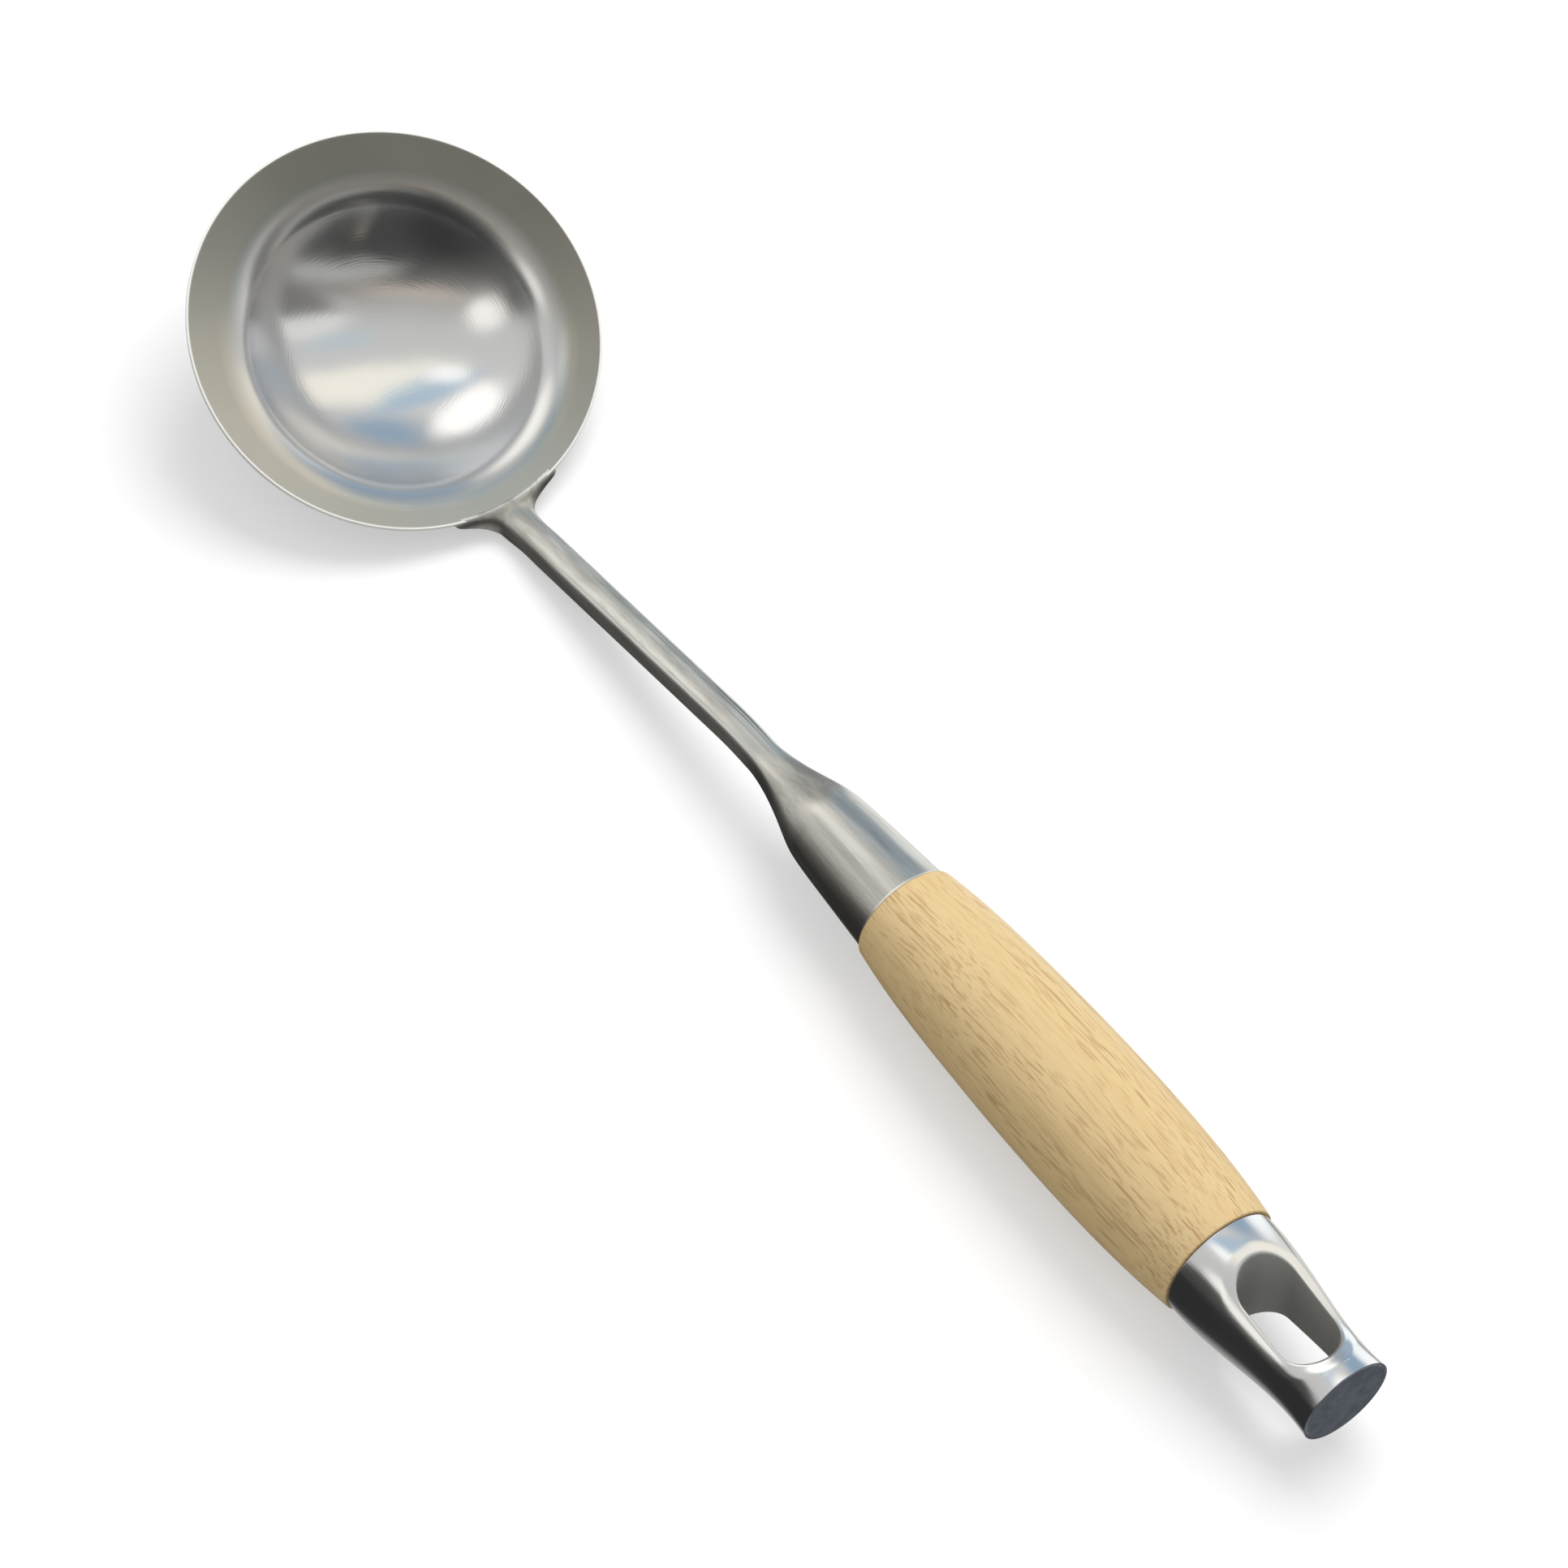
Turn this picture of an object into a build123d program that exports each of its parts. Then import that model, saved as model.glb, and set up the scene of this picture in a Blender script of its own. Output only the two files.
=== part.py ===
from build123d import *
from math import asin, atan2, cos, degrees, hypot, radians, sin, sqrt
import os

# A wok ladle: a bowl, neck, stem and ferrule pressed from one steel sheet, a turned
# wooden grip on a steel core rod, and a hollow steel tail cap with a hanging slot.
# Millimetres. The ladle lies on a table as it would be put down: +Z is up, +X runs from
# the bowl to the tail, the handle is level and XZ is its mirror plane. It rests on the
# underside of its cup and on the belly of its grip.

# Sheet of the bowl, stem and ferrule
sheet = 1.2

# Bowl
rim_radius = 50.0
flange_width = 12.5
knuckle_radius = 12.0
flange_drop = 2.2
cup_depth = 20.4
cup_offset = 2.0
bowl_rake = 22.0
valley_inset = 3.6
rim_round = 0.35

# Neck, from inside the flange to the stem, on the bowl's own axes. Each row has its place
# outward and upward from the rim's near point as shares of the stem's width, its half width
# and half height as shares of the stem's, its squareness, its start angle and its tilt as a
# share of the rake.
neck_shares = (
    (-0.56, 0.01, 5.15, 1.42, 3.0, 50, 0.0),
    (-0.21, 0.02, 4.45, 1.42, 3.0, 44, 0.0),
    (0.00, 0.03, 2.85, 1.38, 3.0, 24, 0.0),
    (0.21, 0.05, 1.72, 1.30, 2.8, 2, 0.2),
    (0.45, 0.13, 1.20, 1.14, 2.6, -14, 0.6),
    (0.80, 0.32, 1.05, 1.06, 2.6, -36, 1.1),
    (1.22, 0.58, 1.00, 1.02, 2.9, -54, 1.35),
)
neck_end_out_share = 1.75
neck_end_up_share = 0.90
neck_run = 6.0

# Stem
stem_width = 8.0
stem_height = 7.4
stem_slit = 3.4
stem_squareness = 3.4
slope_run = 64.0
bend_radius = 60.0

# Ferrule
ferrule_mouth_x = 197.5
ferrule_mouth_radius = 12.4
ferrule_throat_radius = 10.3
ferrule_length = 28.5
flare_length = 24.6
ferrule_seam = 0.7
round_squareness = 2.0
flare_power = 1.65
flare_fullness = 1.06
corner_power = 14

# Grip
grip_length = 111.5
grip_belly_radius = 17.2
grip_front_radius = 13.2
grip_tail_radius = 14.8
grip_edge_round = 0.6
front_tenon_length = 14.0
tail_tenon_length = 3.4
# Barrel's outline: place along the grip, and growth from that end's radius to the belly's
grip_belly_shares = ((0.08, 0.32), (0.30, 0.78))
grip_peak_share = 0.66
grip_tail_shares = ((0.90, 0.52),)

# Tail cap
cap_length = 42.7
cap_mouth_radius = 14.2
cap_waist_radius = 11.0
cap_end_radius = 11.4
cap_wall = 1.2
cap_waist_share = 0.86
cap_middle_share = 0.52
cap_middle_growth_share = 0.42
slot_front_land = 8.8
slot_back_land = 6.9
slot_width = 14.6
slot_round = 0.8
liner_wall = 2.0
end_disc_thickness = 1.5
end_disc_lip = 0.5
end_disc_edge = 0.2
bridge_thickness = 1.2

# Core
rod_diameter = 6.0
boss_diameter = 10.0
boss_length = 18.0
thread_length = 12.0
throat_plate_thickness = 3.0
throat_plate_setback = 18.5

# Fits
seam_gap = 0.15
tenon_clearance = 0.25
rod_clearance = 0.15
thread_clearance = 0.03
weld_gap = 0.02
overrun = 5.0

# How finely the rolled sections are drawn
section_steps = 24
neck_section_count = 18
ferrule_section_count = 14


# Bowl geometry, in a plane through the cup's axis with its origin on the rim plane
rake = radians(bowl_rake)
knuckle_ring_radius = rim_radius - flange_width
valley_radius = rim_radius - valley_inset
flange_slope = flange_drop / flange_width
flange_stretch = sqrt(1 + flange_slope ** 2)
cup_radius = (knuckle_ring_radius ** 2 + cup_depth ** 2) / (2 * cup_depth)
cup_centre_z = cup_radius - cup_depth - flange_drop
blend_line_z = -flange_slope * rim_radius - knuckle_radius * flange_stretch - cup_centre_z
blend_reach = cup_radius + knuckle_radius
blend_x = (
    -flange_slope * blend_line_z
    + sqrt(blend_reach ** 2 * flange_stretch ** 2 - blend_line_z ** 2)
) / flange_stretch ** 2
blend_z = cup_centre_z + flange_slope * blend_x + blend_line_z
blend_angle = degrees(atan2(blend_z - cup_centre_z, blend_x))
flange_angle = degrees(atan2(flange_slope, 1))

# The ladle's attitude on the table
axis_height = grip_belly_radius
cup_underside = cup_radius + sheet
rim_height = cup_underside - cos(rake) * cup_centre_z + sin(rake) * cup_offset
far_edge_drop = sheet - flange_slope * cup_offset - rim_round
far_rim_x = -(rim_radius - rim_round) * cos(rake) - far_edge_drop * sin(rake) - rim_round
tail_end_x = ferrule_mouth_x + grip_length + cap_length
middle_x = (far_rim_x + tail_end_x) / 2

bowl_x = Vector(cos(rake), 0, -sin(rake))
bowl_z = Vector(sin(rake), 0, cos(rake))
rim_centre = Vector(-middle_x, 0, rim_height)
cup_axis_foot = rim_centre + bowl_x * cup_offset
side = Vector(0, 1, 0)

side_plane = Plane(origin=(0, 0, 0), x_dir=(1, 0, 0), z_dir=-side)
rim_plane = Plane(origin=rim_centre, x_dir=bowl_x, z_dir=bowl_z)
cup_section = Plane(origin=cup_axis_foot, x_dir=bowl_x, z_dir=-side)
cup_axis = Axis(cup_axis_foot, bowl_z)


def handle_x(x):
    """Row X of a place given along the handle from below the rim's centre."""
    return x - middle_x


def handle_plane(x):
    """A plane across the handle, with Y to its right and Z up."""
    return Plane(origin=(handle_x(x), 0, axis_height), x_dir=side, z_dir=(1, 0, 0))


def flange_z(radius):
    """Height of the flange's top over the rim plane at a radius from the cup's axis."""
    return -flange_slope * (rim_radius - radius)


def cup_line(flange_end, offset):
    """The bowl's section from its lowest point to a flange end, moved out by an offset."""
    cup = CenterArc((0, cup_centre_z), cup_radius + offset, -90, 90 + blend_angle)
    knuckle = CenterArc(
        (blend_x, blend_z),
        knuckle_radius - offset,
        180 + blend_angle,
        flange_angle - 90 - blend_angle,
    )
    end = (
        flange_end + offset * flange_slope / flange_stretch,
        flange_z(flange_end) - offset / flange_stretch,
    )
    Line(knuckle @ 1, end)
    return cup @ 0, end


# Bowl: turned about the cup's axis, with a rim that is a circle about its own
flange_reach = rim_radius + cup_offset + overrun

with BuildPart() as bowl:
    with BuildSketch(cup_section):
        with BuildLine():
            top_low, top_end = cup_line(flange_reach, 0)
            foot_low, foot_end = cup_line(flange_reach, sheet)
            Line(top_end, foot_end)
            Line(top_low, foot_low)
        make_face()
    revolve(axis=cup_axis)
    with BuildSketch(rim_plane):
        Circle(rim_radius)
    extrude(amount=rim_radius, both=True, mode=Mode.INTERSECT)
    rim_edges = [
        edge
        for face in bowl.faces().filter_by(GeomType.CYLINDER)
        for edge in face.edges()
        if edge.length > rim_radius
    ]
    fillet(rim_edges, radius=rim_round)


# Neck, stem and ferrule: rolled sections from the flange to the ferrule's mouth
def rolled_section(plane, half_width, half_height, squareness, start_angle):
    """An arched band of sheet, open at its foot, on a plane with its origin at the middle."""
    steps = [i / section_steps for i in range(section_steps + 1)]
    with BuildSketch(plane) as section:
        with BuildLine():
            edges = []
            for inset in (0, sheet):
                points = []
                for step in steps:
                    turn = radians(start_angle + (180 - 2 * start_angle) * step)
                    reach = (abs(cos(turn)) ** squareness + abs(sin(turn)) ** squareness) ** (
                        -1 / squareness
                    )
                    y = (half_width - inset) * reach * cos(turn)
                    z = (half_height - inset) * reach * sin(turn)
                    points.append((y, z))
                edges.append(add(Edge.make_spline(points, parameters=steps)).edge())
            outer, inner = edges
            Line(outer @ 0, inner @ 0)
            Line(outer @ 1, inner @ 1)
        make_face()
    return section.sketch


def slit_angle(half_width, squareness, gap):
    """Angle at which a rolled section stops to leave a gap at its foot."""
    across = gap / 2 / half_width
    down = (1 - across ** squareness) ** (1 / squareness)
    return -degrees(atan2(down, across))


stem_half_width = stem_width / 2
stem_half_height = stem_height / 2
stem_start_angle = slit_angle(stem_half_width, stem_squareness, stem_slit)

# Where the stem's top line leaves the neck, and how far it has to rise to the axis
neck_end = (
    rim_centre
    + bowl_x * (rim_radius + stem_width * neck_end_out_share)
    + bowl_z * (stem_width * neck_end_up_share)
)
neck_top_rise = axis_height + stem_half_height - neck_end.Z
bend_top_radius = bend_radius + stem_half_height
sloping_run = neck_run + slope_run
bend_reach = hypot(sloping_run, bend_top_radius)
bend_angle = atan2(bend_top_radius, sloping_run) + asin(
    (neck_top_rise - bend_top_radius) / bend_reach
)
neck_along = Vector(cos(bend_angle), 0, sin(bend_angle))
neck_upright = Vector(-sin(bend_angle), 0, cos(bend_angle))
neck_middle = neck_end - neck_upright * stem_half_height
bend_middle = neck_middle + neck_along * sloping_run
straight_start_x = bend_middle.X + bend_radius * sin(bend_angle)


def stem_section(plane):
    """The stem's section, which stays the same from the neck to the flare."""
    return rolled_section(
        plane, stem_half_width, stem_half_height, stem_squareness, stem_start_angle
    )


def eased(places, values, place):
    """A smooth curve through values at rising places, with no overshoot, read at one place."""
    slopes = [
        (values[i + 1] - values[i]) / (places[i + 1] - places[i]) for i in range(len(places) - 1)
    ]
    turns = [slopes[0]]
    for before, after in zip(slopes, slopes[1:]):
        turns.append(2 * before * after / (before + after) if before * after > 0 else 0)
    turns.append(slopes[-1])
    i = max(k for k in range(len(slopes)) if place >= places[k] or k == 0)
    span = places[i + 1] - places[i]
    t = (place - places[i]) / span
    rise = t * t * (3 - 2 * t)
    return (
        values[i]
        + (values[i + 1] - values[i]) * rise
        + span * turns[i] * t * (1 - t) ** 2
        - span * turns[i + 1] * t * t * (1 - t)
    )


# The neck's sections stand across the bowl's own axis and tilt up into the stem
stem_tilt_share = 1 + bend_angle / rake
stem_row = (1, 1, stem_squareness, stem_start_angle, stem_tilt_share)
neck_run_share = neck_run / stem_width
neck_rows = list(neck_shares)
for run_share in (0, neck_run_share):
    out_share = neck_end_out_share + run_share * cos(rake + bend_angle)
    up_share = neck_end_up_share + run_share * sin(rake + bend_angle)
    neck_rows.append((out_share, up_share) + stem_row)
neck_places = [0]
for before, after in zip(neck_rows, neck_rows[1:]):
    neck_places.append(neck_places[-1] + hypot(after[0] - before[0], after[1] - before[1]))

neck_sections = []
for i in range(neck_section_count + 1):
    place = neck_places[-1] * i / neck_section_count
    out_share, up_share, width_share, height_share, squareness, start, tilt_share = (
        eased(neck_places, column, place) for column in zip(*neck_rows)
    )
    tilt = rake * (tilt_share - 1)
    half_width = stem_half_width * width_share
    half_height = stem_half_height * height_share
    top = (
        rim_centre
        + bowl_x * (rim_radius + stem_width * out_share)
        + bowl_z * (stem_width * up_share)
    )
    station = Plane(
        origin=top - Vector(-sin(tilt), 0, cos(tilt)) * half_height,
        x_dir=side,
        z_dir=Vector(cos(tilt), 0, sin(tilt)),
    )
    neck_sections.append(rolled_section(station, half_width, half_height, squareness, start))

with BuildPart() as neck:
    loft(sections=neck_sections)

# The stem keeps the neck's slope, bends to the handle's axis and then runs straight
ferrule_start_x = ferrule_mouth_x - ferrule_length
flare_start_x = ferrule_start_x - flare_length

bend_axis = Axis((straight_start_x, 0, axis_height - bend_radius), -side)

with BuildPart() as stem:
    straight_start = Plane(origin=(straight_start_x, 0, axis_height), x_dir=side, z_dir=(1, 0, 0))
    straight_section = stem_section(straight_start)
    extrude(straight_section, amount=handle_x(flare_start_x) - straight_start_x)
    revolve(straight_section, axis=bend_axis, revolution_arc=degrees(bend_angle))
    slope_end = Plane(origin=bend_middle, x_dir=side, z_dir=neck_along)
    extrude(stem_section(slope_end), amount=-slope_run)


def ferrule_radius(x):
    """Outer radius of the flare and ferrule at a place along the handle."""
    cone_share = (x - ferrule_start_x) / ferrule_length
    cone = ferrule_throat_radius + (ferrule_mouth_radius - ferrule_throat_radius) * cone_share
    flare_growth = ((x - flare_start_x) / flare_length) ** flare_power
    flare = stem_half_width + (ferrule_throat_radius * flare_fullness - stem_half_width) * flare_growth
    return (cone ** -corner_power + flare ** -corner_power) ** (-1 / corner_power)


def ferrule_bore_radius(x):
    """Inner radius of the ferrule at a place along the handle."""
    return ferrule_radius(x) - sheet


# The flare's sections grow from the stem's to the round ferrule's
ferrule_sections = [stem_section(handle_plane(flare_start_x))]
for i in range(1, ferrule_section_count + 1):
    x = flare_start_x + (ferrule_mouth_x - flare_start_x) * i / ferrule_section_count
    half_width = ferrule_radius(x)
    growth = min((half_width - stem_half_width) / (ferrule_throat_radius - stem_half_width), 1)
    half_height = half_width + (stem_half_height - stem_half_width) * (1 - growth)
    squareness = stem_squareness + (round_squareness - stem_squareness) * growth
    gap = stem_slit + (ferrule_seam - stem_slit) * growth
    start = slit_angle(half_width, squareness, gap)
    ferrule_sections.append(
        rolled_section(handle_plane(x), half_width, half_height, squareness, start)
    )

with BuildPart() as ferrule:
    loft(sections=ferrule_sections)

# The neck is trimmed flush with the flange, inside the valley where the stem starts
with BuildPart() as ladle_shell:
    add(neck.part)
    with BuildSketch(cup_section):
        with BuildLine():
            low, valley = cup_line(valley_radius, 0)
            Polyline(valley, (valley_radius, overrun), (0, overrun), low)
        make_face()
    revolve(axis=cup_axis, mode=Mode.SUBTRACT)
    add(bowl.part)
    add(stem.part)
    add(ferrule.part)
ladle_shell.part.label = "ladle_shell"


# Grip: a turned barrel with a tapered tenon at the ferrule and a short one at the cap
grip_start_x = ferrule_mouth_x + seam_gap
grip_end_x = ferrule_mouth_x + grip_length - seam_gap
grip_span = grip_end_x - grip_start_x

front_tenon_x = grip_start_x - front_tenon_length
tail_tenon_x = grip_end_x + tail_tenon_length
tail_tenon_radius = cap_mouth_radius - cap_wall - tenon_clearance
rod_bore_radius = rod_diameter / 2 + rod_clearance
boss_bore_radius = boss_diameter / 2 + rod_clearance
cap_start_x = ferrule_mouth_x + grip_length
boss_end_x = cap_start_x + slot_front_land - liner_wall - weld_gap
boss_start_x = boss_end_x - boss_length

grip_plane = Plane(origin=(handle_x(0), 0, axis_height), x_dir=(1, 0, 0), z_dir=-side)
handle_axis = Axis((0, 0, axis_height), (1, 0, 0))

with BuildPart() as grip:
    with BuildSketch(grip_plane):
        with BuildLine():
            barrel = [(grip_start_x, grip_front_radius)]
            for along, growth in grip_belly_shares:
                radius = grip_front_radius + (grip_belly_radius - grip_front_radius) * growth
                barrel.append((grip_start_x + grip_span * along, radius))
            barrel.append((grip_start_x + grip_span * grip_peak_share, grip_belly_radius))
            for along, growth in grip_tail_shares:
                radius = grip_tail_radius + (grip_belly_radius - grip_tail_radius) * growth
                barrel.append((grip_start_x + grip_span * along, radius))
            barrel.append((grip_end_x, grip_tail_radius))
            back = Spline(*barrel)
            Polyline(
                back @ 0,
                (grip_start_x, ferrule_bore_radius(grip_start_x) - tenon_clearance),
                (front_tenon_x, ferrule_bore_radius(front_tenon_x) - tenon_clearance),
                (front_tenon_x, rod_bore_radius),
                (boss_start_x - thread_clearance, rod_bore_radius),
                (boss_start_x - thread_clearance, boss_bore_radius),
                (tail_tenon_x, boss_bore_radius),
                (tail_tenon_x, tail_tenon_radius),
                (grip_end_x, tail_tenon_radius),
                back @ 1,
            )
        make_face()
    revolve(axis=handle_axis)
    shoulder_edges = [
        edge
        for edge in grip.edges().filter_by(GeomType.CIRCLE)
        if edge.radius >= grip_front_radius
    ]
    fillet(shoulder_edges, radius=grip_edge_round)
grip.part.label = "wooden_grip"


# Core: a plate welded in the ferrule's throat, a rod through the grip and a tapped boss
throat_plate_x = ferrule_mouth_x - throat_plate_setback
with BuildPart() as throat_plate:
    with BuildSketch(handle_plane(throat_plate_x - throat_plate_thickness)):
        Circle(ferrule_bore_radius(throat_plate_x - throat_plate_thickness) - weld_gap)
        Circle(rod_diameter / 2 + weld_gap, mode=Mode.SUBTRACT)
    extrude(amount=throat_plate_thickness)
throat_plate.part.label = "throat_plate"

rod_start_x = throat_plate_x - throat_plate_thickness
rod_end_x = boss_start_x + thread_length
with BuildPart() as core_rod:
    with BuildSketch(handle_plane(rod_start_x)):
        Circle(rod_diameter / 2)
    extrude(amount=rod_end_x - rod_start_x)
    chamfer(core_rod.faces().sort_by(Axis.X)[-1].edges(), length=rod_diameter / 12)
core_rod.part.label = "core_rod"

with BuildPart() as cap_boss:
    with BuildSketch(handle_plane(boss_start_x)):
        Circle(boss_diameter / 2)
    extrude(amount=boss_length)
    with BuildSketch(handle_plane(boss_start_x)):
        Circle(rod_diameter / 2 + thread_clearance)
    extrude(amount=thread_length + rod_diameter / 2, mode=Mode.SUBTRACT)
cap_boss.part.label = "cap_boss"


# Tail cap: a tapered sleeve with a waist, its slot, the slot's liner and the end disc
cap_end_x = cap_start_x + cap_length
slot_length = cap_length - slot_front_land - slot_back_land
slot_x = cap_start_x + slot_front_land + slot_length / 2
cap_middle_radius = cap_mouth_radius + (cap_waist_radius - cap_mouth_radius) * (
    cap_middle_share + (1 - cap_middle_growth_share) * (cap_waist_share - cap_middle_share) / 2
)


def cap_outline(inset):
    """Half of the cap's section, moved in by an inset and closed along the handle's axis."""
    back = Spline(
        (cap_start_x, cap_mouth_radius - inset),
        (cap_start_x + cap_length * cap_middle_share, cap_middle_radius - inset),
        (cap_start_x + cap_length * cap_waist_share, cap_waist_radius - inset),
        (cap_end_x, cap_end_radius - inset),
    )
    Polyline(back @ 0, (cap_start_x, 0), (cap_end_x, 0), back @ 1)


slot_plane = Plane(origin=(handle_x(slot_x), 0, axis_height))

with BuildPart() as tail_cap:
    with BuildSketch(grip_plane):
        with BuildLine():
            cap_outline(0)
        make_face()
    revolve(axis=handle_axis)
    with BuildSketch(grip_plane):
        with BuildLine():
            cap_outline(cap_wall)
        make_face()
    revolve(axis=handle_axis, mode=Mode.SUBTRACT)
    with BuildSketch(handle_plane(cap_end_x - end_disc_thickness)):
        Circle(cap_end_radius - end_disc_lip)
    extrude(amount=end_disc_thickness + overrun, mode=Mode.SUBTRACT)
    with BuildSketch(slot_plane):
        SlotOverall(slot_length + 2 * (liner_wall + weld_gap), slot_width + 2 * (liner_wall + weld_gap))
    extrude(amount=cap_mouth_radius + overrun, both=True, mode=Mode.SUBTRACT)
tail_cap.part.label = "tail_cap"

with BuildPart() as slot_liner:
    with BuildSketch(grip_plane):
        with BuildLine():
            cap_outline(0)
        make_face()
    revolve(axis=handle_axis)
    with BuildSketch(slot_plane):
        SlotOverall(slot_length + 2 * liner_wall, slot_width + 2 * liner_wall)
    extrude(amount=cap_mouth_radius + overrun, both=True, mode=Mode.INTERSECT)
    with BuildSketch(slot_plane):
        SlotOverall(slot_length, slot_width)
    extrude(amount=cap_mouth_radius + overrun, both=True, mode=Mode.SUBTRACT)
    lip_edges = [
        edge
        for edge in slot_liner.edges().filter_by(Axis.Z, reverse=True)
        if edge.bounding_box().max.Y < slot_width / 2 + weld_gap
        and edge.bounding_box().min.Y > -slot_width / 2 - weld_gap
    ]
    fillet(lip_edges, radius=slot_round)
slot_liner.part.label = "slot_liner"

end_disc_radius = cap_end_radius - end_disc_lip - weld_gap
with BuildPart() as end_disc:
    with BuildSketch(handle_plane(cap_end_x - end_disc_thickness)):
        Circle(end_disc_radius)
    extrude(amount=end_disc_thickness)
    chamfer(end_disc.faces().sort_by(Axis.X)[-1].edges(), length=end_disc_edge)
end_disc.part.label = "end_disc"

bridge_start_x = tail_tenon_x + seam_gap
bridge_radius = tail_tenon_radius + tenon_clearance - weld_gap
with BuildPart() as bridge_disc:
    with BuildSketch(handle_plane(bridge_start_x)):
        Circle(bridge_radius)
        Circle(boss_diameter / 2 + weld_gap, mode=Mode.SUBTRACT)
    extrude(amount=bridge_thickness)
bridge_disc.part.label = "bridge_disc"

os.makedirs("parts", exist_ok=True)
for piece in (
    ladle_shell,
    grip,
    throat_plate,
    core_rod,
    cap_boss,
    tail_cap,
    slot_liner,
    end_disc,
    bridge_disc,
):
    export_step(piece.part, "parts/" + piece.part.label + ".step")
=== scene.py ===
"""Dresses the wok ladle: pressed steel bowl and stem, turned wooden grip, polished tail cap."""

from math import asin, atan2, cos, degrees, hypot, pi, radians, sin, sqrt

import bmesh
import bpy
from bpy.props import FloatProperty, FloatVectorProperty, IntProperty, PointerProperty
from mathutils import Matrix, Vector


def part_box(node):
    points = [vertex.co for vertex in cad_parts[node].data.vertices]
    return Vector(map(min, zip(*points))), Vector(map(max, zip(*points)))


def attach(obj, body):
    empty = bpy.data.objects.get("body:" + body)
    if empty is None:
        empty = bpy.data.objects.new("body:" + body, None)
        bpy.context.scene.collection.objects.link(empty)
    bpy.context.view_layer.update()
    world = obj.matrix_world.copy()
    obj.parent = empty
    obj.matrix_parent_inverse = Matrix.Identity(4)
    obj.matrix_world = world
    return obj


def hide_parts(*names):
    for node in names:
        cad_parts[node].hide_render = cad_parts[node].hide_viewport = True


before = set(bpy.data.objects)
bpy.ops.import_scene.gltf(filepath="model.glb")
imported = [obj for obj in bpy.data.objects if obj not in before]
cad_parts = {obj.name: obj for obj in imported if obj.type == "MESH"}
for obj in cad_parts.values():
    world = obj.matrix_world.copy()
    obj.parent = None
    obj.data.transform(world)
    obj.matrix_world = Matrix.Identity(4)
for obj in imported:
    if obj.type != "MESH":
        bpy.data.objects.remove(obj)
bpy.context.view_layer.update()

bl_info = {
    "name": "Wok Ladle",
    "version": (1, 0, 0),
    "blender": (4, 5, 0),
    "location": "View3D > Sidebar > Wok Ladle",
    "description": "Builds a steel wok ladle with a wooden grip and its studio",
    "category": "Add Mesh",
}

MM = 0.001
MERGE = 0.001 * MM


def corners(node):
    """Lowest and highest corners of a CAD node, in metres."""
    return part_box(node)


GRIP_LOW = corners("wooden_grip")[0]
CAP_LOW, CAP_HIGH = corners("tail_cap")
SHELL_LOW = corners("ladle_shell")[0]
AXIS_Z = (CAP_LOW.z + CAP_HIGH.z) / 2


# Sizes and colours that a user would change


def length_setting(name, description, default, low, high):
    """A length in metres."""
    return FloatProperty(
        name=name, description=description, default=default, min=low, max=high, unit="LENGTH"
    )


def share_setting(name, description, default):
    """A number from 0 to 1."""
    return FloatProperty(name=name, description=description, default=default, min=0, max=1)


def colour_setting(name, description, default):
    """A colour with its alpha."""
    return FloatVectorProperty(
        name=name, description=description, subtype="COLOR", size=4, default=default,
        min=0, max=1,
    )


class LadleSizes(bpy.types.PropertyGroup):
    """Sizes of the steel bowl and handle."""

    rim_radius: length_setting(
        "Rim radius", "Radius of the bowl's rim", 50 * MM, 0.03, 0.08
    )
    flange_width: length_setting(
        "Flange width", "Width of the flat band round the cup", 12.5 * MM, 0.004, 0.02
    )
    knuckle_radius: length_setting(
        "Knuckle radius", "Radius of the soft turn from flange to cup", 12 * MM, 0.002, 0.016
    )
    cup_depth: length_setting(
        "Cup depth", "Depth of the cup below the flange", 20.4 * MM, 0.01, 0.04
    )
    sheet: length_setting(
        "Sheet", "Thickness of the steel sheet", 1.2 * MM, 0.0005, 0.003
    )
    rake: FloatProperty(
        name="Rake", description="Angle between the rim and the handle",
        default=radians(22), min=0, max=radians(60), subtype="ANGLE",
    )
    bowl_segments: IntProperty(
        name="Bowl segments", description="Faces round the bowl",
        default=320, min=48, max=400,
    )


class SteelFinish(bpy.types.PropertyGroup):
    """Colours and polish of the steel."""

    satin: colour_setting(
        "Satin steel", "Colour of the satin steel", (0.56, 0.55, 0.52, 1)
    )
    # The band's colour on its painted-shade side. Towards the painted-light side it is painted
    # lighter, as a painted reflection.
    flange: colour_setting(
        "Flange", "Colour of the satin band round the cup", (0.150, 0.148, 0.130, 1)
    )
    polished: colour_setting(
        "Polished steel", "Colour of the polished steel", (0.70, 0.71, 0.73, 1)
    )
    # Painted highlight: the rim's edge and the ferrule's mouth are painted with this pale colour,
    # and the rim's edge is also made mostly non-metallic
    rim: colour_setting(
        "Rim", "Colour of the bright cut edge of the rim", (0.86, 0.86, 0.84, 1)
    )
    slot_wall: colour_setting(
        "Slot wall", "Colour of the wall inside the hanging slot", (0.40, 0.40, 0.385, 1)
    )
    satin_roughness: share_setting(
        "Satin roughness", "Roughness of the satin flange and stem", 0.34
    )
    wall_roughness: share_setting(
        "Cup wall roughness", "Roughness of the steep wall of the cup", 0.245
    )
    slot_roughness: share_setting(
        "Slot roughness", "Roughness of the wall inside the hanging slot", 0.50
    )
    polished_roughness: share_setting(
        "Polished roughness", "Roughness of the polished cup and cap", 0.16
    )


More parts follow.
